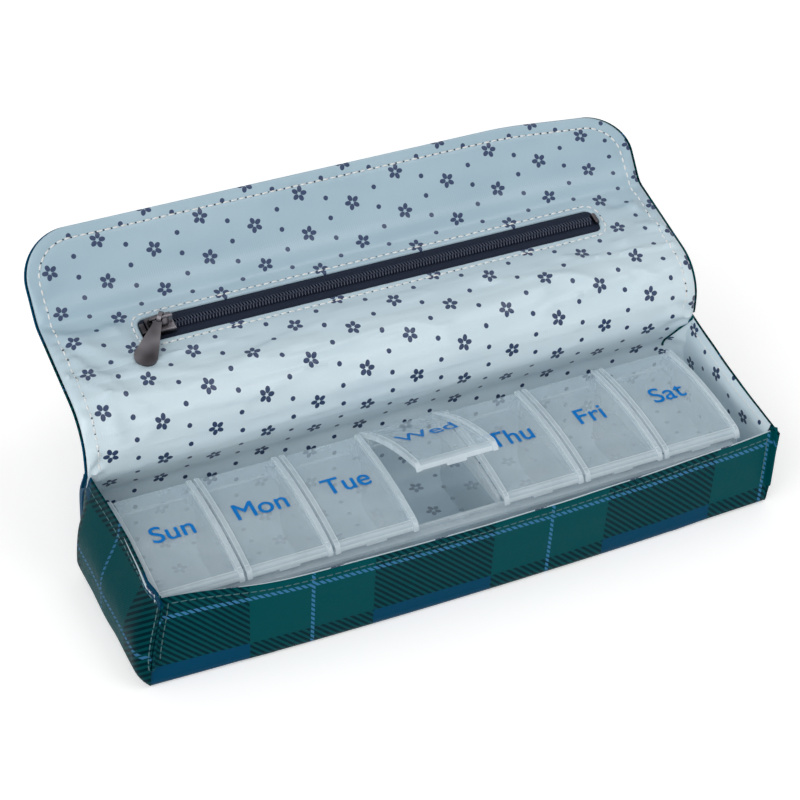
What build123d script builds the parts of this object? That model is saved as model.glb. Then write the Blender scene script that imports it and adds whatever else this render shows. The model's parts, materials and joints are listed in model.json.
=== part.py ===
"""Weekly pill organizer: a seven-lid tray in a padded fabric case with a fold-over zip flap.

Units are millimetres. The origin is the centre of the underside, +X runs along the case,
+Y points to the back and +Z up. The flap stands open and the middle lid is ajar.
"""

import os
from math import atan2, cos, radians, sin

from build123d import *

# Tray and lids
days = ("sunday", "monday", "tuesday", "wednesday", "thursday", "friday", "saturday")
ajar_day = "wednesday"
ajar_angle = 26.0
compartment_pitch = 30.0
tray_wall = 1.2
tray_depth = 47.0
tray_height = 25.2
tray_corner = 6.0
tray_seat_gap = 0.3
ledge_width = 2.8
ledge_thickness = 1.2
ledge_drop = 1.4
latch_width = 7.0
latch_rib = 0.4
latch_drop = 0.8
lid_gap = 1.0
lid_wall = 1.2
lid_crown = 2.0
lid_front_drop = 3.5
lid_rear_overhang = 1.0
lid_front_overhang = 1.9
lip_drop = 2.8
lip_corner = 2.2
rim_height = 0.8
rim_width = 1.7
boss_radius = 1.2
boss_height = 0.5
boss_inset = 3.2
partition_gap = 0.9
hinge_inset = 3.5
hinge_rise = 2.5
hinge_to_top = 4.8
hinge_pin_radius = 1.0
hinge_clearance = 0.06
hinge_side_gap = 0.4
ear_radius = 2.4
ear_thickness = 2.0
arm_width = 2.2
arm_radius = 2.2
pin_reach = 0.8

# Case layers, from the outside in
shell_thickness = 0.8
padding_thickness = 1.2
floor_padding = 3.3
lining_thickness = 0.4
board_thickness = 1.6
board_margin = 3.0

# Case outline
left_gap = 1.1
right_gap = 9.1
front_gap = 1.5
rear_gap = 11.5
case_corner = 8.0
base_flat = 0.3
front_rim = 3.0
rear_rise = 12.5
front_lean = 2.0
knee_height = 32.0
knee_lean = 1.0
knee_round = 12.0
rear_lean = 8.4
bow_bottom = 2.5
bow_top = 4.5
bow_spans = 6
flange_width = 2.2
flange_start = 7.0

# Flap, a riser, a zip panel and a front flap that fold on each other
flap_shell = 0.7
flap_padding = 0.7
flap_lining = 0.4
fold_gap = 0.3
flap_margin = 1.0
flap_clearance = 1.2
riser_length = 18.0
front_flap_length = 30.0
front_flap_corner = 17.0
riser_angle = 92.0
zip_panel_angle = 17.0
front_flap_angle = 55.0
riser_closed_angle = 175.0
zip_panel_closed_angle = 190.0

# Zip
zip_window_length = 170.5
zip_window_height = 9.5
zip_window_corner = 3.0
zip_window_shift = 3.8
zip_to_crease = 12.5
tape_width = 7.3
tape_overlap = 8.0
tape_split = 0.4
tape_thickness = 0.5
chain_width = 4.2
chain_height = 1.2
chain_round = 0.5
stop_length = 1.4
stop_height = 1.4
slider_length = 9.4
slider_width = 7.4
slider_nose = 5.0
slider_roof = 1.1
slider_clearance = 0.3
slider_round = 0.5
bail_radius = 0.6
bail_span = 6.8
bail_rise = 2.4
bail_width = 2.6
eye_bore = 1.4
eye_wall = 0.7
eye_length = 1.4
pull_length = 19.0
pull_neck = 2.4
pull_end = 8.0
pull_thickness = 1.2
pull_skew = 37.0
pull_droop = 11.0

# Magnets that hold the flap shut
magnet_radius = 4.0
magnet_thickness = 0.6
magnet_spacing = 120.0
magnet_height = 18.0

# Worked-out sizes of the case
wall = shell_thickness + padding_thickness + lining_thickness
padding_inset = shell_thickness + padding_thickness
lining_floor = shell_thickness + floor_padding
floor = lining_floor + lining_thickness
tray_length = len(days) * compartment_pitch + tray_wall
case_length = tray_length + left_gap + right_gap + 2 * wall
case_depth = tray_depth + front_gap + rear_gap + 2 * wall
tray_bottom = floor + tray_seat_gap
tray_top = tray_bottom + tray_height
front_height = tray_top + front_rim
rear_height = front_height + rear_rise
section_top = rear_height + rear_rise
half_length = case_length / 2

# Worked-out places of the tray and its hinges
tray_centre = (left_gap - right_gap) / 2
tray_front = -case_depth / 2 + wall + front_gap
tray_rear = tray_front + tray_depth
tray_floor = tray_bottom + tray_wall
hinge_y = tray_rear - hinge_inset
hinge_z = tray_top + hinge_rise
lid_half = (compartment_pitch - lid_gap) / 2
lid_rear = hinge_y + lid_rear_overhang
lid_front = tray_front
lip_front = tray_front - lid_front_overhang
lip_bottom = hinge_z + hinge_to_top - lid_front_drop - lip_drop


def bow(x):
    """Share of the front wall's outward bow at a station along the case."""
    return 1 - (x / half_length) ** 2


def front_y(x, z):
    """Outside of the front wall, which leans out and bows between its ends."""
    rise = z / front_height
    return -case_depth / 2 - front_lean * rise - bow(x) * (bow_bottom + (bow_top - bow_bottom) * rise)


def rear_y(z):
    """Outside of the back wall, which leans forward above its knee."""
    low_share = min(z / knee_height, 1)
    high_share = max((z - knee_height) / (rear_height - knee_height), 0)
    return case_depth / 2 - knee_lean * low_share - rear_lean * high_share


def crown_z(y):
    """Height of the arched top of a closed lid."""
    share = (lid_rear - y) / (lid_rear - lid_front)
    return hinge_z + hinge_to_top - lid_front_drop * share + 4 * lid_crown * share * (1 - share)


# The rim of the case slopes from the low front wall up to the back wall
rim_slope = atan2(rear_rise, rear_y(rear_height) - front_y(half_length, front_height))
rim_plane = Plane(
    origin=(0, rear_y(rear_height), rear_height),
    x_dir=(1, 0, 0),
    z_dir=(0, -sin(rim_slope), cos(rim_slope)),
)

# Fold lines of the flap, as places in the YZ plane
flap_thickness = flap_shell + flap_padding + flap_lining
flap_width = case_length - 2 * flap_margin
fold_reach = flap_thickness / 2 + fold_gap
riser_fold = (
    rear_y(rear_height) - wall / 2 * cos(rim_slope) - fold_reach * sin(rim_slope),
    rear_height - wall / 2 * sin(rim_slope) + fold_reach * cos(rim_slope),
)
closed_reach = riser_fold[0] - front_y(0, front_height) + flap_thickness / 2 + flap_clearance
riser_share = riser_length * cos(radians(180 - riser_closed_angle))
zip_panel_length = (closed_reach - riser_share) / cos(radians(zip_panel_closed_angle - 180))


def step(start, length, angle):
    """Point at a distance and angle from another in the YZ plane."""
    return (start[0] + length * cos(radians(angle)), start[1] + length * sin(radians(angle)))


zip_panel_fold = step(riser_fold, riser_length, riser_angle)
front_flap_fold = step(zip_panel_fold, zip_panel_length, zip_panel_angle)


def panel_plane(pivot, angle):
    """Section plane of a flap panel: x along the panel, y out of its lining side."""
    along = (0, cos(radians(angle)), sin(radians(angle)))
    return Plane(origin=(0, pivot[0], pivot[1]), x_dir=along, z_dir=(1, 0, 0))


riser_plane = panel_plane(riser_fold, riser_angle)
zip_plane = panel_plane(zip_panel_fold, zip_panel_angle)
front_plane = panel_plane(front_flap_fold, front_flap_angle)

# Heights of the flap's layers over the middle of its thickness
shell_low = -flap_thickness / 2
shell_high = shell_low + flap_shell
lining_low = shell_high + flap_padding
lining_high = lining_low + flap_lining
tape_low = lining_low - tape_thickness


def case_section(x, wall_inset, floor_inset):
    """Outline of the case across its length, drawn in by its wall and floor layers."""
    with BuildSketch(Plane.YZ.offset(x)) as section:
        with BuildLine():
            Polyline(
                (front_y(x, floor_inset) + wall_inset, floor_inset),
                (rear_y(floor_inset) - wall_inset, floor_inset),
                (rear_y(knee_height) - wall_inset, knee_height),
                (rear_y(section_top) - wall_inset, section_top),
                (front_y(x, section_top) + wall_inset, section_top),
                close=True,
            )
        make_face()
        levels = section.vertices().group_by(Axis.Y)
        fillet(levels[0], radius=case_corner - wall_inset)
        fillet(levels[1], radius=knee_round - wall_inset)
    return section.sketch


def case_stations(wall_inset, floor_inset):
    """Outlines along the case that a face of its walls is lofted through."""
    places = [half_length * (2 * i / bow_spans - 1) for i in range(bow_spans + 1)]
    return [case_section(x, wall_inset, floor_inset) for x in places]


def flange_sketch(x):
    """Seam allowances that are turned out at the front and back edges of an end panel."""
    root = shell_thickness / 2
    bevel = flange_start + flange_width
    with BuildSketch(Plane.YZ.offset(x)) as flanges:
        with BuildLine():
            Polyline(
                (front_y(x, flange_start) + root, flange_start),
                (front_y(x, section_top) + root, section_top),
                (front_y(x, section_top) - flange_width, section_top),
                (front_y(x, bevel) - flange_width, bevel),
                close=True,
            )
        make_face()
        with BuildLine():
            Polyline(
                (rear_y(flange_start) - root, flange_start),
                (rear_y(knee_height) - root, knee_height),
                (rear_y(section_top) - root, section_top),
                (rear_y(section_top) + flange_width, section_top),
                (rear_y(knee_height) + flange_width, knee_height),
                (rear_y(bevel) + flange_width, bevel),
                close=True,
            )
        make_face()
        knees = flanges.vertices().filter_by_position(Axis.Y, knee_height - 1, knee_height + 1)
        fillet(knees, radius=knee_round)
    return flanges.sketch


def magnet_planes():
    """Planes in the middle of the front wall's padding, square to the wall."""
    planes = []
    for x in (-magnet_spacing / 2, magnet_spacing / 2):
        slope_x = (front_y(x + 1, magnet_height) - front_y(x - 1, magnet_height)) / 2
        slope_z = (front_y(x, magnet_height + 1) - front_y(x, magnet_height - 1)) / 2
        depth = front_y(x, magnet_height) + shell_thickness + padding_thickness / 2
        planes.append(Plane(origin=(x, depth, magnet_height), z_dir=(-slope_x, 1, -slope_z)))
    return planes


def panel_section(plane, length, low, high):
    """One layer of a flap panel, rounded about its fold line, between two heights."""
    with BuildSketch(plane) as section:
        Circle(flap_thickness / 2)
        with Locations((length / 2, 0)):
            Rectangle(length, flap_thickness)
        with Locations((length / 2, (low + high) / 2)):
            Rectangle(2 * length, high - low, mode=Mode.INTERSECT)
    return section.sketch


# Outer fabric of the front wall, bottom and back wall in one wrap, with its turned-out seams
shell_reach = half_length - shell_thickness
with BuildPart() as case_shell:
    loft(case_stations(0, -base_flat), ruled=True)
    loft(case_stations(shell_thickness, shell_thickness), ruled=True, mode=Mode.SUBTRACT)
    split(bisect_by=Plane.YZ.offset(shell_reach), keep=Keep.BOTTOM)
    split(bisect_by=Plane.YZ.offset(-shell_reach), keep=Keep.TOP)
    for side in (-1, 1):
        extrude(flange_sketch(side * shell_reach), amount=-side * shell_thickness)
    split(bisect_by=rim_plane, keep=Keep.BOTTOM)
    split(bisect_by=Plane.XY, keep=Keep.TOP)

# Stiff board that keeps the bottom flat
board_front = front_y(half_length, 0) + case_corner + board_margin
board_rear = rear_y(0) - case_corner - board_margin
with BuildPart() as base_board:
    with BuildSketch(Plane.XY.offset(shell_thickness)):
        with Locations((0, (board_front + board_rear) / 2)):
            RectangleRounded(
                case_length - 2 * (padding_inset + board_margin),
                board_rear - board_front,
                board_margin,
            )
    extrude(amount=board_thickness)

# Closing magnets, sewn in behind the front wall
with BuildPart() as case_magnets:
    with Locations(*magnet_planes()):
        Cylinder(magnet_radius, magnet_thickness)

# Foam between the outer fabric and the lining
with BuildPart() as case_padding:
    loft(case_stations(shell_thickness, shell_thickness), ruled=True)
    loft(case_stations(padding_inset, lining_floor), ruled=True, mode=Mode.SUBTRACT)
    split(bisect_by=Plane.YZ.offset(half_length - padding_inset), keep=Keep.BOTTOM)
    split(bisect_by=Plane.YZ.offset(padding_inset - half_length), keep=Keep.TOP)
    split(bisect_by=rim_plane, keep=Keep.BOTTOM)
    add(base_board.part, mode=Mode.SUBTRACT)
    add(case_magnets.part, mode=Mode.SUBTRACT)

# Lining of the front wall, floor and back wall
with BuildPart() as case_lining:
    loft(case_stations(padding_inset, lining_floor), ruled=True)
    loft(case_stations(wall, floor), ruled=True, mode=Mode.SUBTRACT)
    split(bisect_by=Plane.YZ.offset(half_length - wall), keep=Keep.BOTTOM)
    split(bisect_by=Plane.YZ.offset(wall - half_length), keep=Keep.TOP)
    split(bisect_by=rim_plane, keep=Keep.BOTTOM)

case_parts = {
    "case_shell": case_shell,
    "base_board": base_board,
    "case_magnets": case_magnets,
    "case_padding": case_padding,
    "case_lining": case_lining,
}

# End panels: outer fabric with its seam flanges, foam and lining
for end_name, side in (("left_end", -1), ("right_end", 1)):
    with BuildPart() as end_shell:
        extrude(case_section(side * shell_reach, 0, -base_flat), amount=side * shell_thickness)
        extrude(flange_sketch(side * shell_reach), amount=side * shell_thickness)
        split(bisect_by=rim_plane, keep=Keep.BOTTOM)
        split(bisect_by=Plane.XY, keep=Keep.TOP)
    with BuildPart() as end_padding:
        padding_station = side * (half_length - shell_thickness)
        extrude(
            case_section(padding_station, shell_thickness, shell_thickness),
            amount=-side * padding_thickness,
        )
        split(bisect_by=rim_plane, keep=Keep.BOTTOM)
    with BuildPart() as end_lining:
        lining_station = side * (half_length - padding_inset)
        extrude(
            case_section(lining_station, padding_inset, lining_floor),
            amount=-side * lining_thickness,
        )
        split(bisect_by=rim_plane, keep=Keep.BOTTOM)
    case_parts[end_name + "_shell"] = end_shell
    case_parts[end_name + "_padding"] = end_padding
    case_parts[end_name + "_lining"] = end_lining

# Riser, the strip of the flap that stands on the back wall
riser_reach = riser_length - fold_reach
with BuildPart() as riser_shell:
    extrude(panel_section(riser_plane, riser_reach, shell_low, shell_high), amount=flap_width / 2, both=True)
with BuildPart() as riser_padding:
    extrude(panel_section(riser_plane, riser_reach, shell_high, lining_low), amount=flap_width / 2, both=True)
with BuildPart() as riser_lining:
    extrude(panel_section(riser_plane, riser_reach, lining_low, lining_high), amount=flap_width / 2, both=True)

# Zip panel, which covers the tray when the flap is shut
zip_reach = zip_panel_length - fold_reach
zip_line = zip_panel_length - zip_to_crease
zip_left = zip_window_shift - zip_window_length / 2
zip_right = zip_window_shift + zip_window_length / 2
zip_face_origin = zip_plane.from_local_coords((zip_line, 0, zip_window_shift))
zip_face = Plane(origin=zip_face_origin, x_dir=(1, 0, 0), z_dir=zip_plane.y_dir)
zip_up = Axis(zip_face.origin, zip_face.z_dir)

with BuildPart() as zip_panel_shell:
    extrude(panel_section(zip_plane, zip_reach, shell_low, shell_high), amount=flap_width / 2, both=True)
with BuildPart() as pocket_bag:
    extrude(panel_section(zip_plane, zip_reach, shell_high, tape_low), amount=flap_width / 2, both=True)

# Woven tapes on both sides of the chain, sewn behind the window
with BuildPart() as zip_tapes:
    with BuildSketch(zip_face.offset(tape_low)):
        with GridLocations(0, tape_width + tape_split, 1, 2):
            Rectangle(zip_window_length + 2 * tape_overlap, tape_width)
    extrude(amount=tape_thickness)

with BuildPart() as zip_panel_padding:
    extrude(panel_section(zip_plane, zip_reach, tape_low, lining_low), amount=flap_width / 2, both=True)
    with BuildSketch(zip_face.offset(tape_low)):
        Rectangle(zip_window_length + 2 * tape_overlap, 2 * tape_width + tape_split)
    extrude(amount=tape_thickness, mode=Mode.SUBTRACT)

with BuildPart() as zip_panel_lining:
    extrude(panel_section(zip_plane, zip_reach, lining_low, lining_high), amount=flap_width / 2, both=True)
    with BuildSketch(zip_face.offset(lining_low)):
        RectangleRounded(zip_window_length, zip_window_height, zip_window_corner)
    extrude(amount=flap_lining, mode=Mode.SUBTRACT)

# Closed chain, a low bar with a stop at each end
chain_length = zip_window_length - 2 * (stop_length + slider_clearance)
with BuildPart() as zip_chain:
    with BuildSketch(zip_face.offset(lining_low)):
        Rectangle(chain_length, chain_width)
    extrude(amount=chain_height)
    fillet(zip_chain.faces().sort_by(zip_up)[-1].edges().filter_by(Axis.X), radius=chain_round)

with BuildPart() as zip_stops:
    with BuildSketch(zip_face.offset(lining_low)):
        with GridLocations(chain_length + stop_length, 0, 2, 1):
            Rectangle(stop_length, chain_width)
    extrude(amount=stop_height)

# Slider, a saddle that runs on the chain, with a bail for the pull
slider_base = lining_low + slider_clearance
slider_top = lining_low + chain_height + slider_clearance + slider_roof
slider_shift = (slider_length - chain_length) / 2 + slider_clearance
slider_face = Plane(
    origin=zip_face.from_local_coords((slider_shift, 0, 0)), x_dir=(1, 0, 0), z_dir=zip_face.z_dir
)
bail_top = slider_top + bail_rise
with BuildPart() as zip_slider:
    with BuildSketch(slider_face.offset(slider_base)):
        with BuildLine():
            Polyline(
                (-slider_length / 2, -slider_nose / 2 - bail_radius),
                (0, -slider_width / 2),
                (slider_length / 2, -slider_width / 2),
                (slider_length / 2, slider_width / 2),
                (0, slider_width / 2),
                (-slider_length / 2, slider_nose / 2 + bail_radius),
                close=True,
            )
        make_face()
    extrude(amount=slider_top - slider_base)
    fillet(zip_slider.faces().sort_by(zip_up)[-1].edges(), radius=slider_round)
    with BuildSketch(slider_face.offset(slider_base)):
        Rectangle(2 * slider_length, chain_width + 2 * slider_clearance)
    extrude(amount=chain_height, mode=Mode.SUBTRACT)
    bail_plane = Plane(origin=slider_face.origin, x_dir=slider_face.y_dir, z_dir=(1, 0, 0))
    for side in (-1, 1):
        with BuildSketch(bail_plane.offset(side * bail_span / 2)):
            with BuildLine():
                Polyline(
                    (-bail_radius, bail_top),
                    (-bail_width / 2, slider_top - slider_round),
                    (bail_width / 2, slider_top - slider_round),
                    (bail_radius, bail_top),
                )
                ThreePointArc((bail_radius, bail_top), (0, bail_top + bail_radius), (-bail_radius, bail_top))
            make_face()
        extrude(amount=bail_radius, both=True)
    with BuildSketch(bail_plane):
        with Locations((0, bail_top)):
            Circle(bail_radius)
    extrude(amount=bail_span / 2, both=True)

# Pull tab, which hangs from the bail by a rolled eye
pull_origin = slider_face.from_local_coords((0, 0, bail_top))
pull_out = slider_face.x_dir * -sin(radians(pull_skew)) - slider_face.y_dir * cos(radians(pull_skew))
pull_along = pull_out * cos(radians(pull_droop)) - slider_face.z_dir * sin(radians(pull_droop))
pull_up = pull_out * sin(radians(pull_droop)) + slider_face.z_dir * cos(radians(pull_droop))
pull_plane = Plane(origin=pull_origin, x_dir=pull_along, z_dir=pull_up)
eye_plane = Plane(origin=pull_origin, x_dir=pull_along, z_dir=pull_plane.y_dir)
tab_start = eye_bore + eye_wall / 2
with BuildPart() as zip_pull:
    with BuildSketch(pull_plane):
        with BuildLine():
            end_centre = pull_length - pull_end / 2
            lower = Line((tab_start, -pull_neck / 2), (end_centre, -pull_end / 2))
            end_arc = ThreePointArc(lower @ 1, (pull_length, 0), (end_centre, pull_end / 2))
            upper = Line(end_arc @ 1, (tab_start, pull_neck / 2))
            Line(upper @ 1, lower @ 0)
        make_face()
    extrude(amount=pull_thickness / 2, both=True)
    with BuildSketch(eye_plane):
        Circle(eye_bore + eye_wall)
    extrude(amount=eye_length / 2, both=True)
    with BuildSketch(eye_plane):
        Circle(eye_bore)
    extrude(amount=pull_end, both=True, mode=Mode.SUBTRACT)

# Front flap, stiffened by a board, with rounded free corners
front_layers = {
    "front_flap_shell": (shell_low, shell_high),
    "front_flap_board": (shell_high, lining_low),
    "front_flap_lining": (lining_low, lining_high),
}
free_axis = Axis(front_plane.origin, front_plane.x_dir)
closed_fold = step(
    step(riser_fold, riser_length, riser_closed_angle), zip_panel_length, zip_panel_closed_angle
)
magnet_along = closed_fold[1] - magnet_height
with BuildPart() as flap_magnets:
    magnet_origin = front_plane.from_local_coords((magnet_along, (shell_high + lining_low) / 2, 0))
    with BuildSketch(Plane(origin=magnet_origin, x_dir=(1, 0, 0), z_dir=front_plane.y_dir)):
        with GridLocations(magnet_spacing, 0, 2, 1):
            Circle(magnet_radius)
    extrude(amount=magnet_thickness / 2, both=True)

front_parts = {"flap_magnets": flap_magnets}
for layer_name, (low, high) in front_layers.items():
    with BuildPart() as front_layer:
        extrude(
            panel_section(front_plane, front_flap_length, low, high), amount=flap_width / 2, both=True
        )
        free_edges = front_layer.edges().filter_by(Axis(front_plane.origin, front_plane.y_dir))
        fillet(free_edges.group_by(free_axis)[-1], radius=front_flap_corner)
        if layer_name == "front_flap_board":
            add(flap_magnets.part, mode=Mode.SUBTRACT)
    front_parts[layer_name] = front_layer


def trough_section(inset):
    """Outline of the tray's trough, drawn in by its wall."""
    with BuildSketch(Plane.YZ.offset(tray_centre)) as section:
        with BuildLine():
            Polyline(
                (tray_front + inset, tray_bottom + inset),
                (tray_rear - inset, tray_bottom + inset),
                (tray_rear - inset, tray_top),
                (tray_front + inset, tray_top),
                close=True,
            )
        make_face()
        fillet(section.vertices().group_by(Axis.Y)[0], radius=tray_corner - inset)
    return section.sketch


def crown_arc(start, end, drop):
    """Arc under the crown of the lids, lowered by a drop."""
    middle = (start + end) / 2
    return ThreePointArc(
        (start, crown_z(start) - drop), (middle, crown_z(middle) - drop), (end, crown_z(end) - drop)
    )


def partition_section(x):
    """Partition between two compartments, with a top that follows the lids."""
    front = tray_front + tray_wall
    rear = tray_rear - tray_wall
    with BuildSketch(Plane.YZ.offset(x)) as section:
        with BuildLine():
            top = crown_arc(hinge_y - ear_radius, front, lid_wall + partition_gap)
            Polyline(top @ 1, (front, tray_floor), (rear, tray_floor), (rear, tray_top), top @ 0)
        make_face()
        fillet(section.vertices().group_by(Axis.Y)[0], radius=tray_corner - tray_wall)
    return section.sketch


def ear_section(x):
    """Hinge ear that stands on the back end of a partition."""
    base = tray_top - ear_radius
    with BuildSketch(Plane.YZ.offset(x)) as section:
        with Locations((hinge_y, hinge_z)):
            Circle(ear_radius)
        with Locations((hinge_y, (hinge_z + base) / 2)):
            Rectangle(2 * ear_radius, hinge_z - base)
    return section.sketch


# Moulded tray: a trough, arched partitions, hinge ears, a front ledge and latch ribs
lid_places = [
    tray_centre + (i - (len(days) - 1) / 2) * compartment_pitch for i in range(len(days))
]
partition_places = [x - compartment_pitch / 2 for x in lid_places]
partition_places.append(lid_places[-1] + compartment_pitch / 2)
ledge_top = tray_top - ledge_drop
hinge_plane = Plane(origin=(tray_centre, hinge_y, hinge_z), x_dir=(0, 1, 0), z_dir=(1, 0, 0))
with BuildPart() as pill_tray:
    extrude(trough_section(0), amount=tray_length / 2, both=True)
    extrude(trough_section(tray_wall), amount=tray_length / 2, both=True, mode=Mode.SUBTRACT)
    for place in partition_places:
        extrude(partition_section(place), amount=tray_wall / 2, both=True)
        extrude(ear_section(place), amount=ear_thickness / 2, both=True)
    with BuildSketch(hinge_plane):
        Circle(hinge_pin_radius + hinge_clearance)
    extrude(amount=case_length, both=True, mode=Mode.SUBTRACT)
    with BuildSketch(Plane.XY.offset(ledge_top)):
        with Locations((tray_centre, tray_front - ledge_width / 2)):
            Rectangle(tray_length - 2 * ledge_width, ledge_width)
    extrude(amount=-ledge_thickness)
    with BuildSketch(Plane.XY.offset(ledge_top)):
        with Locations((tray_centre, tray_front - latch_rib / 2)):
            with GridLocations(compartment_pitch, 0, len(days), 1):
                Rectangle(latch_width, latch_rib)
    extrude(amount=ledge_drop)


def lid_band(x, depth, side):
    """Arched band along the top of a lid, from its back edge to the end of its lip."""
    with BuildSketch(Plane.YZ.offset(x)) as band:
        with BuildLine():
            top = crown_arc(lid_rear, lid_front, 0)
            TangentArc(top @ 1, (lip_front, lip_bottom), tangent=top % 1)
            offset(amount=depth, side=side)
        make_face()
    return band.sketch


def arm_section(x):
    """Hinge arm that hangs from the back of a lid and carries a pin."""
    arm_height = hinge_to_top - lid_wall / 2
    with BuildSketch(Plane.YZ.offset(x)) as section:
        with Locations((hinge_y, hinge_z)):
            Circle(arm_radius)
        with Locations((hinge_y + (lid_rear_overhang - arm_radius) / 2, hinge_z + arm_height / 2)):
            Rectangle(lid_rear_overhang + arm_radius, arm_height)
    return section.sketch


# Arched lid with raised side rims, a thumb lip, bosses, a latch tooth and two pinned arms
arm_outside = (compartment_pitch - ear_thickness) / 2 - hinge_side_gap
boss_y = lid_front + boss_inset
with BuildPart() as lid:
    extrude(lid_band(0, lid_wall, Side.LEFT), amount=lid_half, both=True)
    with BuildSketch(Plane.XZ) as lid_front_view:
        with Locations((0, lip_bottom)):
            Rectangle(2 * lid_half, 2 * hinge_z, align=(Align.CENTER, Align.MIN))
        fillet(lid_front_view.vertices().group_by(Axis.Y)[0], radius=lip_corner)
    extrude(amount=case_depth, both=True, mode=Mode.INTERSECT)
    for side in (-1, 1):
        rim_middle = side * (lid_half - rim_width / 2)
        extrude(lid_band(rim_middle, rim_height, Side.RIGHT), amount=rim_width / 2, both=True)
        arm_middle = side * (arm_outside - arm_width / 2)
        extrude(arm_section(arm_middle), amount=arm_width / 2, both=True)
        with BuildSketch(Plane(origin=(arm_middle, hinge_y, hinge_z), z_dir=(side, 0, 0))):
            Circle(hinge_pin_radius)
        extrude(amount=arm_width / 2 + hinge_side_gap + pin_reach)
    with Locations((0, boss_y, crown_z(boss_y) - lid_wall / 2)):
        with GridLocations(2 * (lid_half - boss_inset), 0, 2, 1):
            Cylinder(
                boss_radius,
                boss_height + lid_wall / 2,
                align=(Align.CENTER, Align.CENTER, Align.MIN),
            )
    with BuildSketch(Plane.XY.offset(lip_bottom + lid_wall / 2)):
        with Locations((0, lip_front + lid_wall / 2)):
            Rectangle(latch_width, lid_wall)
    extrude(amount=-latch_drop - lid_wall / 2)

pieces = {
    **case_parts,
    "riser_shell": riser_shell,
    "riser_padding": riser_padding,
    "riser_lining": riser_lining,
    "zip_panel_shell": zip_panel_shell,
    "zip_panel_padding": zip_panel_padding,
    "zip_panel_lining": zip_panel_lining,
    "pocket_bag": pocket_bag,
    "zip_tapes": zip_tapes,
    "zip_chain": zip_chain,
    "zip_stops": zip_stops,
    "zip_slider": zip_slider,
    "zip_pull": zip_pull,
    **front_parts,
    "pill_tray": pill_tray,
}

os.makedirs("parts", exist_ok=True)
for name, piece in pieces.items():
    piece.part.label = name
    export_step(piece.part, f"parts/{name}.step")

# One lid for each day, shut apart from the one that stands ajar
hinge_axis = Axis((0, hinge_y, hinge_z), (-1, 0, 0))
for day, place in zip(days, lid_places):
    day_lid = lid.part.moved(Location((place, 0, 0)))
    if day == ajar_day:
        day_lid = day_lid.rotate(hinge_axis, ajar_angle)
    day_lid.label = "lid_" + day
    export_step(day_lid, f"parts/lid_{day}.step")
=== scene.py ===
"""Looks of the pill organizer: a padded plaid case, its open zip flap and the frosted day tray.

Lengths are millimetres in the part's frame, and meshes are written in metres.
"""

import json
from functools import lru_cache, partial, partialmethod
from math import cos, exp, pi, radians, sin, sqrt

import bpy
import numpy as np
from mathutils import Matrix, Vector, noise


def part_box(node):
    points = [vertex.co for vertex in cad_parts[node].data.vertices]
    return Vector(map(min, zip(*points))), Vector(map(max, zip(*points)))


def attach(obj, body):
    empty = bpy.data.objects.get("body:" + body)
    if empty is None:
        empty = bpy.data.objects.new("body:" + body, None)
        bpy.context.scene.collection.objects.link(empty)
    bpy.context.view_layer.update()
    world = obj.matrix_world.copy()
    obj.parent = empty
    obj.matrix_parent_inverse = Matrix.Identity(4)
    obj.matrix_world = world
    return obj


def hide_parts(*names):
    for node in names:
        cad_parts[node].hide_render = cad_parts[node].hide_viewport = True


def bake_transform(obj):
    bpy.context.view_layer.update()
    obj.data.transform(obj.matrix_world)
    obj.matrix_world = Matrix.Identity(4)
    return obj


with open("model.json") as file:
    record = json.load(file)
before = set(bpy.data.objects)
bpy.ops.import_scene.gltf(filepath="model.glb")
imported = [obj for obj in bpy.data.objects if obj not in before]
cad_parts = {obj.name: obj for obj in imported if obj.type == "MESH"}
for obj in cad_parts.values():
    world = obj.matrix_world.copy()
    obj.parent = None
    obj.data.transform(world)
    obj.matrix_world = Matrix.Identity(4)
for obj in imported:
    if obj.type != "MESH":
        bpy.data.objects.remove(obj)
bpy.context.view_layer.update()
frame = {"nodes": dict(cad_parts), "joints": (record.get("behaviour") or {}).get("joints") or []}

MM = 0.001

# Case, as the solids have it
half_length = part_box("right_end_shell")[1].x / MM
case_depth = 64.8
case_corner = 8.0
wrap_corner = 2.2
wall = 2.4
floor = 4.5
front_height = 33.0
rear_height = 45.5
front_lean = 2.0
knee_height = 32.0
knee_lean = 1.0
knee_round = 12.0
rear_lean = 8.4
bow_bottom = 2.5
bow_top = 4.5
flange_width = 2.2
flange_start = 7.0

# Flap, as the solids have it
fold_places = {j["name"]: [c / MM for c in j["pos_m"][1:]] for j in frame["joints"] if "pos_m" in j}
riser_fold = np.array(fold_places["riser_fold"])
zip_panel_fold = np.array(fold_places["zip_panel_fold"])
front_flap_fold = np.array(fold_places["front_flap_fold"])
flap_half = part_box("zip_panel_shell")[1].x / MM
flap_thickness = 1.8
front_flap_angle = radians(55)
front_flap_length = 30.0
front_flap_corner = 17.0

# Zip, as the solids have it
zip_window_length = 170.5
zip_window_height = 9.5
zip_window_corner = 3.0
zip_window_shift = 3.8
zip_to_crease = 12.5
chain_length = 167.1
tape_reach = 7.5
tape_overlap = 5.0
window_ease = 0.6

# Tray and lids, as the solids have them
days = ("sunday", "monday", "tuesday", "wednesday", "thursday", "friday", "saturday")
ajar_day = "wednesday"
ajar_angle = radians(26)
lid_pitch = 30.0
tray_centre = -4.0
hinge_place = np.array(fold_places["sunday_hinge"])
lid_rear = 16.0
lid_front = -28.5
lid_top = 4.8
lid_front_drop = 3.5
lid_crown = 2.0
lid_half = 14.5
rim_width = 1.7
rim_step = 0.1
rim_edge = 0.16
rim_border = 0.25
lip_front = -30.4
tray_front = -28.5
tray_top = 30.0

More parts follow.
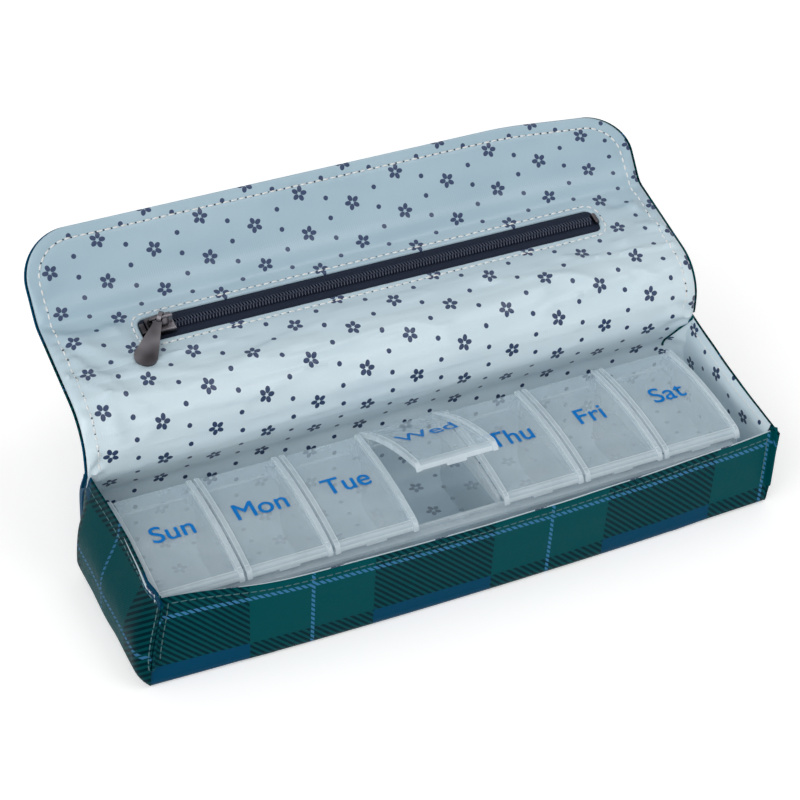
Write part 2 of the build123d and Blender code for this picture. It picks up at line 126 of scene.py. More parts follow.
# Cloth
cloth_thickness = 0.45
lining_thickness = 0.3
hem_roll = 0.55
edge_round = 0.8
edge_height = 0.45
ground_gap = 0.02
pull_length = 48.0
pull_depth = 62.0
tip_depth = 9.0
lining_pull = 0.65
hem_seam_inset = 2.6
hem_turn = hem_roll - 0.02
hem_depth = 3.5
lining_hem_drop = 1.85
lining_hem_inset = 1.2
lining_hem_depth = 2.0
lining_hem_round = 0.55
shell_margin = 0.9
stitch_inset = 4.0
stitch_pitch = 2.8
stitch_length = 2.15
stitch_width = 0.62
hole_radius = 0.34
window_margin = 3.0
window_stitch_inset = 1.7
crease_round = 6.5
roll_round = 15.0
wall_fold_round = 12.0

# Plaid and print
plaid_repeat = 84.5
plaid_start = -80.0
plaid_row = 4.8
band_half = 0.228
twill_pitch = 2.55
twill_share = 0.48
dash_pitch = 0.8 * twill_pitch
dash_share = 0.62
warp_line_half = 0.6
weft_line_half = 0.8
print_width = 18.0
print_height = 14.0
print_shift = 5.0
petal_count = 5
petal_place = 1.62
petal_length = 1.12
petal_width = 0.82
blossom_eye = 0.34
blossom_turn = 0.09
dot_radius = 0.85
wall_v = 2 * case_depth
# Where the painted shade on the flap's lining begins, and the run over which it deepens
painted_shade_start = wall_v + 22
painted_shade_run = 46


def shade(red, green, blue):
    """Linear colour of an sRGB one that is given in 0 to 255."""
    channels = [c / 255 for c in (red, green, blue)]
    linear = [c / 12.92 if c <= 0.04045 else ((c + 0.055) / 1.055) ** 2.4 for c in channels]
    return (*linear, 1.0)


def ease(t):
    """Smooth step from 0 to 1."""
    t = min(max(t, 0.0), 1.0)
    return t * t * (3 - 2 * t)


def spread(breaks, spacing):
    """Sorted values through all the breaks, at most a spacing apart."""
    values = [breaks[0]]
    for low, high in zip(breaks, breaks[1:]):
        count = max(1, round((high - low) / spacing))
        values.extend(low + (high - low) * i / count for i in range(1, count + 1))
    return values


def ripple(*place):
    """Smooth noise at a place, from -1 to 1."""
    return noise.noise(Vector(place))


def crest(*place):
    """Narrow ridges, 1 along the lines where the noise is 0."""
    return max(1 - 2 * abs(ripple(*place)), 0.0)


def bell(distance, width):
    """Smooth bump, 1 in its middle."""
    return exp(-((distance / width) ** 2))


# Nodes


class Field:
    """A number that nodes work out at each point of a surface."""

    def __init__(self, look, socket):
        self.look = look
        self.socket = socket

    def math(self, operation, *others):
        node = self.look.add("ShaderNodeMath", operation=operation)
        for socket, value in zip(node.inputs, (self, *others)):
            self.look.feed(socket, value)
        return Field(self.look, node.outputs[0])

    __add__ = partialmethod(math, "ADD")
    __sub__ = partialmethod(math, "SUBTRACT")
    __mul__ = partialmethod(math, "MULTIPLY")
    __truediv__ = partialmethod(math, "DIVIDE")
    __lt__ = partialmethod(math, "LESS_THAN")
    __gt__ = partialmethod(math, "GREATER_THAN")
    highest = partialmethod(math, "MAXIMUM")
    lowest = partialmethod(math, "MINIMUM")
    fract = partialmethod(math, "FRACT")
    whole = partialmethod(math, "FLOOR")
    size = partialmethod(math, "ABSOLUTE")

    def wave(self, length):
        return (self * (2 * pi / length)).math("SINE")


class Nodes:
    """A node tree and what is added to it."""

    def __init__(self, tree):
        self.tree = tree

    def add(self, kind, **settings):
        node = self.tree.nodes.new(kind)
        for name, value in settings.items():
            setattr(node, name, value)
        return node

    def feed(self, socket, value):
        if isinstance(value, Field):
            value = value.socket
        if isinstance(value, bpy.types.NodeSocket):
            self.tree.links.new(value, socket)
        else:
            socket.default_value = value

    def parts(self, vector):
        node = self.add("ShaderNodeSeparateXYZ")
        self.feed(node.inputs[0], vector)
        return [Field(self, socket) for socket in node.outputs]

    def cloth_coordinates(self):
        return self.parts(self.add("ShaderNodeUVMap", uv_map="cloth").outputs[0])[:2]

    def object_coordinates(self):
        place = self.add("ShaderNodeTexCoord").outputs["Object"]
        return place, [part / MM for part in self.parts(place)]

    def vector(self, x, y, z=0.0):
        node = self.add("ShaderNodeCombineXYZ")
        for socket, value in zip(node.inputs, (x, y, z)):
            self.feed(socket, value)
        return node.outputs[0]

    def noise(self, place, scale, detail=3.0):
        node = self.add("ShaderNodeTexNoise")
        self.feed(node.inputs["Vector"], place)
        node.inputs["Scale"].default_value = scale
        node.inputs["Detail"].default_value = detail
        return Field(self, node.outputs[0])

    def mix(self, share, low, high):
        node = self.add("ShaderNodeMix", data_type="RGBA")
        for socket, value in zip((node.inputs[0], node.inputs[6], node.inputs[7]), (share, low, high)):
            self.feed(socket, value)
        return node.outputs[2]

    def seen_directly(self):
        """1 for what the camera sees, straight, in a reflection or through a clear piece."""
        path = self.add("ShaderNodeLightPath")
        seen = Field(self, path.outputs["Is Camera Ray"])
        for name in ("Is Glossy Ray", "Is Transmission Ray"):
            seen = seen.highest(path.outputs[name])
        return seen


class Look(Nodes):
    """One material and its nodes."""

    def __init__(self, name, **settings):
        self.material = bpy.data.materials.new(name)
        self.material.use_nodes = True
        super().__init__(self.material.node_tree)
        self.shader = self.tree.nodes["Principled BSDF"]
        for socket, value in settings.items():
            self.shader.inputs[socket.replace("_", " ").title().replace("Ior", "IOR")].default_value = value

    def colour(self, value):
        self.feed(self.shader.inputs["Base Color"], value)

    def roughness(self, value):
        self.feed(self.shader.inputs["Roughness"], value)

    def bump(self, height, depth, strength=1.0):
        node = self.add("ShaderNodeBump")
        node.inputs["Strength"].default_value = strength
        node.inputs["Distance"].default_value = depth * MM
        self.feed(node.inputs["Height"], height)
        self.feed(self.shader.inputs["Normal"], node.outputs[0])


def plaid_look(name, depth, gloss):
    """Coated tartan: teal and blue bands, twill where they cross and pale dashed lines."""
    look = Look(name, specular_ior_level=gloss, specular_tint=(0.02, 0.45, 0.55, 1.0))
    colours = ((0, 76, 82), (2, 68, 100), (0, 38, 48), (4, 74, 80), (62, 124, 170), (0, 104, 108))
    # Depth scales every colour: the ends' copy of the cloth is darker as painted shade
    teal, blue, dark, mid, line, rubbed = (shade(*(depth * c for c in colour)) for colour in colours)
    u, v = look.cloth_coordinates()
    warp = ((u - plaid_start) / plaid_repeat).fract()
    weft = ((v - plaid_row) / plaid_repeat + 0.25).fract()
    warp_green = warp < 0.5
    weft_green = (weft - 0.25).size() < band_half
    twill = ((u - v) / twill_pitch).fract() < twill_share
    cloth = look.mix(warp_green * weft_green, look.mix(twill, dark, mid), teal)
    cloth = look.mix((warp_green + weft_green) < 0.5, cloth, blue)
    dashes = ((u - v) / dash_pitch).fract() < dash_share
    warp_line = (warp - 0.25).size() * plaid_repeat < warp_line_half
    weft_line = (weft - 0.25).size() * plaid_repeat < weft_line_half
    cloth = look.mix(warp_line.highest(weft_line) * dashes, cloth, line)
    place = look.vector(u, v)
    worn = look.noise(place, 0.35, 4.0)
    look.colour(look.mix((worn - 0.5) * 0.3, cloth, rubbed))
    look.roughness(worn * 0.25 + 0.3)
    weave = u.wave(0.7) * v.wave(0.7) * 0.4 + look.noise(place, 0.6, 2.0)
    look.bump(weave, 0.12, 0.5)
    return look.material


def blossom_print(u, v):
    """Where ink lies: five-petal blossoms in a half drop, with columns of dots between them."""
    column = (u / print_width).whole()
    drop = (column * 0.5).fract() * print_height
    p = ((u / print_width).fract() - 0.5) * print_width
    q = (((v + drop) / print_height).fract() - 0.5) * print_height
    radius = (p * p + q * q).math("SQRT")
    turn = q.math("ARCTAN2", p) + drop * blossom_turn
    petal_angle = 2 * pi / petal_count
    sector = ((turn / petal_angle).fract() - 0.5) * petal_angle
    along = (radius * sector.math("COSINE") - petal_place) / petal_length
    across = radius * sector.math("SINE") / petal_width
    petals = (along * along + across * across) < 1.0
    dot_pitch = print_height / 2
    dot_p = p.size() - print_width / 2
    dot_q = ((v / dot_pitch).fract() - 0.5) * dot_pitch
    dots = (dot_p * dot_p + dot_q * dot_q) < dot_radius**2
    return petals.highest(dots) * (radius > blossom_eye)


def lining_look():
    """Pale blue satin with a small navy print, with painted shade that darkens it towards the flap's free
    edge.
    """
    look = Look("printed_lining", specular_ior_level=0.5)
    u, v = look.cloth_coordinates()
    u = u + print_shift
    cloud = look.noise(look.vector(u * 0.4, v), 0.06, 2.0)
    # Darker tone towards the flap's free edge: painted shade
    shaded_ground = look.mix(cloud, shade(148, 174, 189), shade(170, 194, 206))
    pale = look.mix(cloud, shade(198, 217, 227), shade(220, 234, 240))
    ground = look.mix(((v - painted_shade_start) / painted_shade_run).lowest(1.0).highest(0.0), pale, shaded_ground)
    ink = look.mix(look.noise(look.vector(u, v), 0.9, 2.0), shade(24, 42, 76), shade(44, 66, 104))
    look.colour(look.mix(blossom_print(u, v), ground, ink))
    look.roughness(cloud * 0.14 + 0.24)
    threads = u.wave(0.8) * 0.15 + look.noise(look.vector(u * 0.25, v), 0.5, 3.0)
    look.bump(threads, 0.1, 0.35)
    return look.material


def thread_look(name, low, high):
    """Twisted sewing thread."""
    look = Look(name, roughness=0.55, sheen_weight=0.2)
    u, v = look.cloth_coordinates()
    ply = (u + v * 0.6).wave(0.45) * 0.5 + 0.5
    look.colour(look.mix(ply, low, high))
    look.bump(ply, 0.08, 0.6)
    return look.material


def tape_look():
    """Navy woven zip tape with a herringbone."""
    look = Look("zip_tape_cloth", specular_ior_level=0.2)
    u, v = look.cloth_coordinates()
    rib = ((v / 1.5).fract() - 0.5).size() * 1.5
    weave = (u + rib * 1.2).wave(0.62) * 0.5 + 0.5
    look.colour(look.mix(weave, shade(12, 18, 32), shade(30, 41, 62)))
    look.roughness(weave * 0.1 + 0.6)
    look.bump(weave, 0.12, 0.8)
    return look.material


def mottled_look(name, scale, detail, low, high, **settings):
    """Nylon, ink or board, uneven in colour, and in gloss too where no roughness is set."""
    look = Look(name, **settings)
    place, _ = look.object_coordinates()
    grain = look.noise(place, scale, detail)
    look.colour(look.mix(grain, low, high))
    if "roughness" not in settings:
        look.roughness(grain * 0.2 + 0.28)
    return look.material


def metal_look():
    """Gunmetal plating with fine rub marks in its gloss, and light and dark blotches in its colour that are
    painted reflections.
    """
    look = Look("gunmetal", metallic=1.0)
    place, _ = look.object_coordinates()
    rub_and_glint = look.noise(place, 120, 1.0)
    # Strong light and dark blotches of colour: painted reflections and glints
    look.colour(look.mix((rub_and_glint - 0.5) * 2.2 + 0.5, shade(52, 50, 53), shade(122, 119, 124)))
    look.roughness(rub_and_glint * 0.2 + 0.12)
    look.bump(look.noise(place, 1500, 2.0), 0.02, 0.4)
    return look.material


def frosted_look(name, body_alpha, rim_alpha, rims, turn=0.0):
    """Frosted polypropylene, whiter where the moulding is thick: its rims, turned with the piece. On the
    tray its front wall is whitened too, as painted light.
    """
    look = Look(name, ior=1.49, specular_ior_level=0.6)
    place, (x, y, z) = look.object_coordinates()
    beside = (((x - tray_centre) / lid_pitch + 0.5).fract() - 0.5).size() * lid_pitch
    forward = (y - hinge_place[0]) * cos(turn) - (z - hinge_place[1]) * sin(turn) + hinge_place[0]
    rim = rims(beside, forward, z)
    cloud = look.noise(place, 90, 4.0)
    body = look.mix(cloud, shade(202, 225, 238), shade(222, 239, 248))
    look.colour(look.mix(rim, body, shade(226, 238, 245)))
    look.roughness(cloud * 0.2 + 0.18)
    rim_extra_alpha = rim * (rim_alpha - body_alpha)
    look.feed(look.shader.inputs["Alpha"], rim_extra_alpha + cloud * 0.06 + (body_alpha - 0.03))
    look.bump(look.noise(place, 700, 3.0), 0.03, 0.3)
    return look.material


def lid_rims(beside, y, z):
    """Where a lid is thick: its side rims and front lip, whitest along their edges."""
    side = (beside > lid_half - rim_width) * 0.4
    side_edge = (beside - (lid_half - rim_width + rim_step)).size() < rim_edge
    lip = (y < lid_front + rim_step) * 0.4
    lip_edge = (y - (lid_front + rim_step)).size() < rim_edge
    rim = side.highest(side_edge).highest(lip).highest(lip_edge)
    return rim.highest(beside > lid_half - rim_border).highest(y < lip_front + rim_border)


def tray_rims_and_painted_front_light(beside, y, z):
    """Where the tray is whiter and less clear: the tops of its walls, which are thick, and its front wall,
    whitened as painted light for the shaded gap behind the hem.
    """
    # The front wall's share is painted light, not thickness
    return (z > tray_top - 0.8).highest((y < tray_front + 1.6) * 0.7)


plaid = plaid_look("plaid_cloth", 0.96, 0.05)
# The end panels' plaid: the same cloth, darker, as painted shade on the ends
shaded_end_plaid = plaid_look("plaid_cloth_ends_painted_shade", 0.8, 0.02)
lining = lining_look()
pale_thread = thread_look("pale_thread", shade(196, 200, 200), shade(246, 246, 244))
dark_thread = thread_look("dark_thread", shade(8, 56, 62), shade(44, 108, 114))
# Navy of the needle holes: painted shade of the holes
needle_hole_shade = thread_look("needle_hole_shade", shade(24, 34, 48), shade(40, 52, 68))
tape_cloth = tape_look()
coil_nylon = mottled_look(
    "zip_coil_nylon", 900, 2.0, shade(24, 31, 50), shade(44, 54, 78), specular_ior_level=0.5
)
gunmetal = metal_look()
lid_plastic = frosted_look("frosted_lid", 0.28, 0.55, lid_rims)
ajar_plastic = frosted_look("frosted_lid_ajar", 0.28, 0.55, lid_rims, ajar_angle)
tray_plastic = frosted_look("frosted_tray", 0.22, 0.4, tray_rims_and_painted_front_light)
ink = mottled_look(
    "label_ink", 500, 3.0, shade(0, 106, 184), shade(0, 122, 202), roughness=0.5, specular_ior_level=0.1
)
board = mottled_look("inner_board", 200, 3.0, shade(120, 120, 120), shade(150, 150, 150), roughness=0.8)


# Mesh helpers


def add_object(name, data):
    """A new object in the scene."""
    piece = bpy.data.objects.new(name, data)
    bpy.context.scene.collection.objects.link(piece)
    return piece


def mesh_piece(name, points, faces, cloth, material):
    """A smooth piece from millimetre points, with its flat cloth coordinates as UVs."""
    mesh = bpy.data.meshes.new(name)
    mesh.from_pydata((np.array(points, float) * MM).tolist(), [], faces)
    corners = np.empty(len(mesh.loops), int)
    mesh.loops.foreach_get("vertex_index", corners)
    layer = mesh.uv_layers.new(name="cloth")
    layer.data.foreach_set("uv", np.array(cloth, float)[corners].ravel())
    mesh.polygons.foreach_set("use_smooth", [True] * len(mesh.polygons))
    mesh.materials.append(material)
    return add_object(name, mesh)


def grid_faces(row_count, column_count, flip=False, skip=()):
    """Quads of a grid of points, with the face normal to the lining side unless flipped."""
    faces = []
    for row in range(row_count - 1):
        for column in range(column_count - 1):
            if (row, column) in skip:
                continue
            first = row * column_count + column
            quad = (first, first + 1, first + column_count + 1, first + column_count)
            faces.append(quad[::-1] if flip else quad)
    return faces


def thicken(piece, thickness):
    """Gives a sheet its thickness, away from its face."""
    modifier = piece.modifiers.new("cloth", "SOLIDIFY")
    modifier.thickness = thickness * MM
    modifier.offset = -1.0
    piece.modifiers.new("edges", "EDGE_SPLIT").split_angle = radians(60)
    return piece


def grid_sheet(name, points, column_count, cloth, material, thickness, flip=False):
    """A thick sheet of cloth over a grid of points."""
    faces = grid_faces(len(points) // column_count, column_count, flip)
    return thicken(mesh_piece(name, points, faces, cloth, material), thickness)


def rounded_corner(before, corner, after, radius):
    """Points of the arc that rounds a corner of a line."""
    before, corner, after = (np.array(p, float) for p in (before, corner, after))
    back = (before - corner) / np.linalg.norm(before - corner)
    ahead = (after - corner) / np.linalg.norm(after - corner)
    half = np.arccos(np.clip(back @ ahead, -1, 1)) / 2
    reach = radius / np.tan(half)
    middle = (back + ahead) / np.linalg.norm(back + ahead)
    centre = corner + middle * radius / np.sin(half)
    first = corner + back * reach - centre
    last = corner + ahead * reach - centre
    turn = pi - 2 * half
    count = max(4, round(turn / radians(5)))
    shares = [i / count for i in range(count + 1)]
    return [
        centre + (first * sin((1 - t) * turn) + last * sin(t * turn)) / sin(turn) for t in shares
    ]


class Profile:
    """A line in the YZ plane with rounded corners, measured along its length."""

    def __init__(self, corners, radii):
        points = [np.array(corners[0], float)]
        for i, radius in enumerate(radii, 1):
            points.extend(rounded_corner(corners[i - 1], corners[i], corners[i + 1], radius))
        points.append(np.array(corners[-1], float))
        self.points = np.array(points)
        steps = np.linalg.norm(np.diff(self.points, axis=0), axis=1)
        self.marks = np.concatenate([[0.0], np.cumsum(steps)])
        self.length = self.marks[-1]

    def at(self, s):
        return np.array([np.interp(s, self.marks, self.points[:, i]) for i in (0, 1)])

    def normal(self, s, reach=0.7):
        ahead = self.at(min(s + reach, self.length)) - self.at(max(s - reach, 0.0))
        ahead /= np.linalg.norm(ahead)
        return np.array([-ahead[1], ahead[0]])

    def nearest(self, place):
        samples = np.linspace(0, self.length, 4000)
        gaps = np.linalg.norm(self.at(samples).T - np.array(place), axis=1)
        return samples[gaps.argmin()]


def ring(place, across, up, sides):
    """Points of a ring round a place."""
    angles = [2 * pi * k / sides for k in range(sides)]
    return [place + across * cos(a) + up * sin(a) for a in angles]


def tube_faces(base, ring_count, sides):
    """Faces of a closed tube whose rings of points start at a base."""
    faces = []
    for i in range(ring_count - 1):
        for k in range(sides):
            a = base + i * sides + k
            b = base + i * sides + (k + 1) % sides
            faces.append((a, b, b + sides, a + sides))
    last = base + (ring_count - 1) * sides
    faces.append(tuple(base + k for k in reversed(range(sides))))
    faces.append(tuple(last + k for k in range(sides)))
    return faces


def tube(path, radius, sides, points, faces):
    """Adds a closed tube along a few points."""
    path = np.array(path)
    faces.extend(tube_faces(len(points), len(path), sides))
    for i, place in enumerate(path):
        ahead = path[min(i + 1, len(path) - 1)] - path[max(i - 1, 0)]
        ahead /= np.linalg.norm(ahead)
        across = np.cross(ahead, (1.0, 0.0, 0.0))
        across /= np.linalg.norm(across)
        up = np.cross(across, ahead)
        points.extend(ring(place, across * radius, up * radius, sides))


# Each ring of a stitch: its share of the length and of the thread's width
stitch_rings = ((0.0, 0.25), (0.14, 0.8), (0.38, 1.0), (0.62, 1.0), (0.86, 0.8), (1.0, 0.25))
stitch_sides = 8
stitch_flat = 0.84
stitch_lift = 0.2
stitch_sink = 0.02
hole_lift = 0.07
slope_step = 0.05


def stitches(name, seam, surface, material, span=None):
    """Thread along a seam: one rounded stitch per pitch, each end sunk in its needle hole, which is a dark
    disc of painted shade.

    The seam is a list of surface coordinates, and the surface gives a point for each. A span keeps
    the stitches between two values of the second coordinate.
    """
    line = np.array([surface(*place) for place in seam])
    marks = np.concatenate([[0.0], np.cumsum(np.linalg.norm(np.diff(line, axis=0), axis=1))])
    seam = np.array(seam, float)
    points, faces, cloth, holes = [], [], [], []
    for i in range(int(marks[-1] / stitch_pitch)):
        start = (i + 0.5) * stitch_pitch - stitch_length / 2
        steps = [start + t * stitch_length for t, _ in stitch_rings]
        at = [[np.interp(step, marks, seam[:, k]) for k in (0, 1)] for step in steps]
        a, b = at[2]
        if span and not span[0] <= b < span[1]:
            continue
        places = [np.array(surface(*p)) for p in at]
        along = places[-1] - places[0]
        along /= np.linalg.norm(along)
        beside = np.array(surface(a + slope_step, b)) - places[2]
        other = np.array(surface(a, b + slope_step)) - places[2]
        up = np.cross(beside, other)
        up /= np.linalg.norm(up)
        across = np.cross(up, along)
        faces.extend(tube_faces(len(points), len(stitch_rings), stitch_sides))
        for (t, share), place, step in zip(stitch_rings, places, steps):
            middle = place + up * (stitch_lift * sin(pi * t) - stitch_sink)
            half = stitch_width / 2 * share
            points.extend(ring(middle, across * half, up * half * stitch_flat, stitch_sides))
            cloth.extend((step, k * stitch_width / stitch_sides) for k in range(stitch_sides))
        # A dark disc over each needle hole: painted shade of the hole
        holes.append(len(faces))
        faces.append(tuple(len(points) + k for k in range(stitch_sides)))
        hole = places[-1] + along * (stitch_pitch - stitch_length) / 2 + up * hole_lift
        points.extend(ring(hole, along * hole_radius, across * hole_radius, stitch_sides))
        cloth.extend((start, k * stitch_width / stitch_sides) for k in range(stitch_sides))
    piece = mesh_piece(name, points, faces, cloth, material)
    piece.data.materials.append(needle_hole_shade)
    for face in holes:
        piece.data.polygons[face].material_index = 1
    return piece


# Case outline


def bow(x):
    """Share of the front wall's outward bow at a station along the case."""
    return max(0.0, 1 - (x / half_length) ** 2)


def front_y(x, z):
    """Outside of the front wall, which leans out and bows between its ends."""
    rise = z / front_height
    return -case_depth / 2 - front_lean * rise - bow(x) * (bow_bottom + (bow_top - bow_bottom) * rise)


def rear_y(z):
    """Outside of the back wall, which leans forward above its knee."""
    low_share = min(z / knee_height, 1)
    high_share = max((z - knee_height) / (rear_height - knee_height), 0)
    return case_depth / 2 - knee_lean * low_share - rear_lean * high_share


rim_slope = (rear_height - front_height) / (rear_y(rear_height) - front_y(half_length, front_height))


def rim_z(y):
    """Height of the case's rim, which slopes up to the back."""
    return rear_height + (y - rear_y(rear_height)) * rim_slope


def front_rim(x):
    """Height of the front hem, with the slight waves of sewn cloth."""
    return rim_z(front_y(x, front_height)) + 0.35 * ripple(x / 21, 4.2, 0.0)


def case_pull(x, y, z, share=1.0):
    """How far the case's cloth is drawn in, back and up at its front left corner."""
    from_front = y - front_y(half_length, front_height)
    rise = ease((z / rim_z(y) - 0.3) / 0.7)
    along = ease(1 - (x + half_length) / pull_length)
    front = ease(1 - from_front / pull_depth)
    tip = ease(1 - from_front / tip_depth)
    pull = np.array(((1.1 + 1.6 * front) * share + 1.5 * tip, 1.2 * front, 2.4 * front + 0.8 * tip))
    return pull * rise * along


# Flap outline: a line in the YZ plane up the back wall and along the flap to its free edge
free_edge = front_flap_fold + front_flap_length * np.array([cos(front_flap_angle), sin(front_flap_angle)])
foot_height = 36.5
wall_foot = np.array([rear_y(foot_height) - wall / 2, foot_height])
flap_line = Profile(
    [wall_foot, riser_fold, zip_panel_fold, front_flap_fold, free_edge],
    [wall_fold_round, roll_round, crease_round],
)
flap_end = flap_line.length
riser_s = flap_line.nearest(riser_fold)
panel_length = np.linalg.norm(front_flap_fold - zip_panel_fold)
panel_direction = (front_flap_fold - zip_panel_fold) / panel_length
crease_s = flap_line.nearest(front_flap_fold)
zip_place = front_flap_fold - panel_direction * zip_to_crease
zip_s = flap_line.nearest(zip_place)
roll_start = flap_line.nearest(zip_panel_fold + (riser_fold - zip_panel_fold) * 0.62)
roll_end = flap_line.nearest(zip_panel_fold + panel_direction * 12.0)
lower_split = roll_start - 0.5
window_half = zip_window_height / 2 + window_ease
window_core_x = zip_window_length / 2 - zip_window_corner
window_core_s = window_half - zip_window_corner
upper_split = zip_s - window_half - window_margin - 4.0
flap_spans = {
    "lower": (0.0, lower_split),
    "middle": (lower_split, upper_split),
    "upper": (upper_split, flap_end),
}
corner_start = flap_end - front_flap_corner


def flap_reach(s):
    """Half width of the flap at a place along it, less at its rounded free corners."""
    if s <= corner_start:
        return flap_half
    return flap_half - front_flap_corner + sqrt(max(0.0, front_flap_corner**2 - (s - corner_start) ** 2))


def flap_border(x, s):
    """Distance of a place on the flap from its finished edge."""
    inside_x = abs(x) - (flap_half - front_flap_corner)
    inside_s = s - corner_start
    if inside_x > 0 and inside_s > 0:
        return front_flap_corner - sqrt(inside_x**2 + inside_s**2)
    return min(flap_half - abs(x), flap_end - s)


def edge_share(distance):
    """Share of the flap's thickness near its edge, where lining and shell are sewn together."""
    inward = min(max(distance / edge_round, 0.0), 1.0)
    return sqrt(1 - (1 - inward) ** 2)


def window_gap(x, s):
    """Distance of a place on the flap from the zip window's outline, outside it."""
    over_x = abs(x - zip_window_shift) - window_core_x
    over_s = abs(s - zip_s) - window_core_s
    outside = sqrt(max(over_x, 0.0) ** 2 + max(over_s, 0.0) ** 2)
    return outside + min(max(over_x, over_s), 0.0) - zip_window_corner


# Folds that the pocket pulls into the lining: their ends in x and along the panel, height and width
pocket_folds = (
    ((-110, 39), (-84, 40), -0.8, 1.8),
    ((-109, 34), (-94, 27), 0.9, 2.8),
    ((-109, 30), (-99, 12), 0.8, 2.8),
    ((-102, 10), (-100, -8), 1.0, 3.0),
    ((-74, 3), (-26, -2), 0.8, 3.4),
    ((-62, 13), (-12, 10), 0.6, 3.2),
    ((-42, 21), (32, 19), 0.45, 2.4),
    ((18, 7), (82, 12), 0.7, 3.6),
    ((107, 24), (84, 18), 1.0, 2.8),
    ((108, 6), (88, 0), 0.9, 2.8),
    ((109, 37), (84, 39), -0.7, 1.8),
)


def pocket_fold(x, s):
    """Height of the pocket's folds at a place on the flap."""
    along = s - zip_s + panel_length - zip_to_crease
    total = 0.0
    for (x0, s0), (x1, s1), height, width in pocket_folds:
        run_x, run_s = x1 - x0, s1 - s0
        length = run_x**2 + run_s**2
        share = ((x - x0) * run_x + (along - s0) * run_s) / length
        inside = min(max(share, 0.0), 1.0)
        off = sqrt((x - x0 - run_x * inside) ** 2 + (along - s0 - run_s * inside) ** 2)
        total += height * bell(off, width) * (0.45 + 0.55 * sin(pi * inside))
    return total


def panel_folds(x, s):
    """Height of the lining's drags and creases, most of them between the roll and the crease."""
    side_x = flap_half - abs(x)
    on_panel = ease((crease_s - 2 - s) / 8)
    drag = 0.75 * ripple(x / 34, s / 11, 1.7) * (0.35 + 0.65 * on_panel)
    ridge = 0.95 * crest(x / 42 + s / 50, s / 8, 5.3) ** 3
    ridge += 0.6 * crest(x / 55, s / 4, 7.1) ** 5
    ridge += 1.1 * crest((x + s) / 15, (x - s) / 45, 3.9) ** 4 * bell(side_x, 26)
    reach = sqrt(side_x**2 + (s - crease_s) ** 2)
    turn = 9 * np.arctan2(s - crease_s, side_x + 6) + (0.0 if x < 0 else 1.3)
    pull = 0.95 * sin(turn) * bell(reach - 11, 9) * (0.3 + 0.7 * on_panel)
    return drag + ridge * on_panel + pull + pocket_fold(x, s)


def seam_folds(x, s):
    """Height of the puckers along the flap's seams and of the groove under each of them."""
    border = flap_border(x, s)
    along = s if flap_half - abs(x) < flap_end - s else x
    edge = border - stitch_inset
    height = 0.22 * ripple(along / 2.6, border / 7, 9.1) * bell(edge, 3.2) - 0.3 * bell(edge, 0.75)
    ring_gap = window_gap(x, s) - window_stitch_inset
    return height + 0.12 * ripple(x / 3.1, s / 6, 2.4) * bell(ring_gap, 3.0) - 0.28 * bell(ring_gap, 0.7)


def corner_gather(x, s):
    """Height of the small folds that fan out where the flap leaves the case's corners."""
    side_x = flap_half - abs(x)
    fan_width = 10 if x > 0 else 3
    turn = np.arctan2(s - riser_s, side_x + 1)
    reach = sqrt(side_x**2 + (s - riser_s) ** 2)
    return 0.9 * sin(7 * turn) * bell(reach, 13) * ease(1 - (side_x - fan_width) / 4)


def flap_wrinkle(x, s):
    """Height of all the lining's folds, with the raised band above the crease."""
    free = ease(window_gap(x, s) / 9) * (0.3 + 0.7 * ease((s - lower_split) / 12))
    band = bell(s - crease_s - 3.4, 3.4)
    return panel_folds(x, s) * free + band + corner_gather(x, s) + seam_folds(x, s)


droop_depth = 3.4
droop_start = 58.0
droop_width = 50.0
droop_length = 32.0


def flap_droop(x, s):
    """How far the flap's free edge falls short at its right corner, which hangs a little."""
    across = ease((x - droop_start) / droop_width)
    return droop_depth * across * ease((s - flap_end + droop_length) / droop_length)


def layer_height(s):
    """Height of lining and shell over the middle line, from the case wall to the flap."""
    return wall / 2 + (flap_thickness / 2 - wall / 2) * ease((s - riser_s + 6) / 8)


def layer_share(x, s):
    """Share of that height, less along the flap's edge."""
    return edge_share(flap_border(x, s)) if s > riser_s else 1.0


def flap_place(x, s, height):
    """A place at a height over the flap's middle line."""
    at = s - flap_droop(x, s)
    y, z = flap_line.at(at) + flap_line.normal(at) * height
    return x, y, z


def lining_point(x, s, sink=0.0):
    """A place on the lining of the flap and of the wall below it."""
    height = edge_height + (layer_height(s) - edge_height) * layer_share(x, s)
    fade = ease((s - 2) / 8) * min(1.0, max(flap_border(x, s), 0.0) / 2)
    return flap_place(x, s, height + flap_wrinkle(x, s) * fade - sink)


def shell_point(x, s):
    """A place on the outer fabric of the flap and of the wall below it."""
    share = layer_share(x, s)
    height = (layer_height(s) + edge_height) * share - edge_height
    quilt = 0.25 * ripple(x / 30, s / 14, 8.8) * ease(s / 8)
    groove = 0.2 * bell(flap_border(x, s) - stitch_inset, 0.8) if s > riser_s else 0.0
    return flap_place(x, s, -(height + quilt * share - groove))


def flap_rows(low, high, extra=()):
    """Places along one stretch of the flap, closer together at its rounded free corners."""
    breaks = sorted({low, high, *(b for b in extra if low < b < high)})
    rows = spread(breaks, 1.1)
    if high < flap_end:
        return rows
    corner = [corner_start + front_flap_corner * sin(radians(a)) for a in range(0, 91, 3)]
    edge = [flap_end - edge_round * (1 - sin(radians(a))) for a in range(0, 90, 18)]
    return sorted({*(r for r in rows if r < corner_start), *corner, *edge})


window_left = zip_window_shift - zip_window_length / 2 - window_margin
window_right = zip_window_shift + zip_window_length / 2 + window_margin
edge_columns = [edge_round * (1 - cos(radians(a))) for a in range(0, 91, 18)]
flap_columns = sorted({
    *spread([edge_round - flap_half, window_left, window_right, flap_half - edge_round], 1.3),
    *(c - flap_half for c in edge_columns),
    *(flap_half - c for c in edge_columns),
})


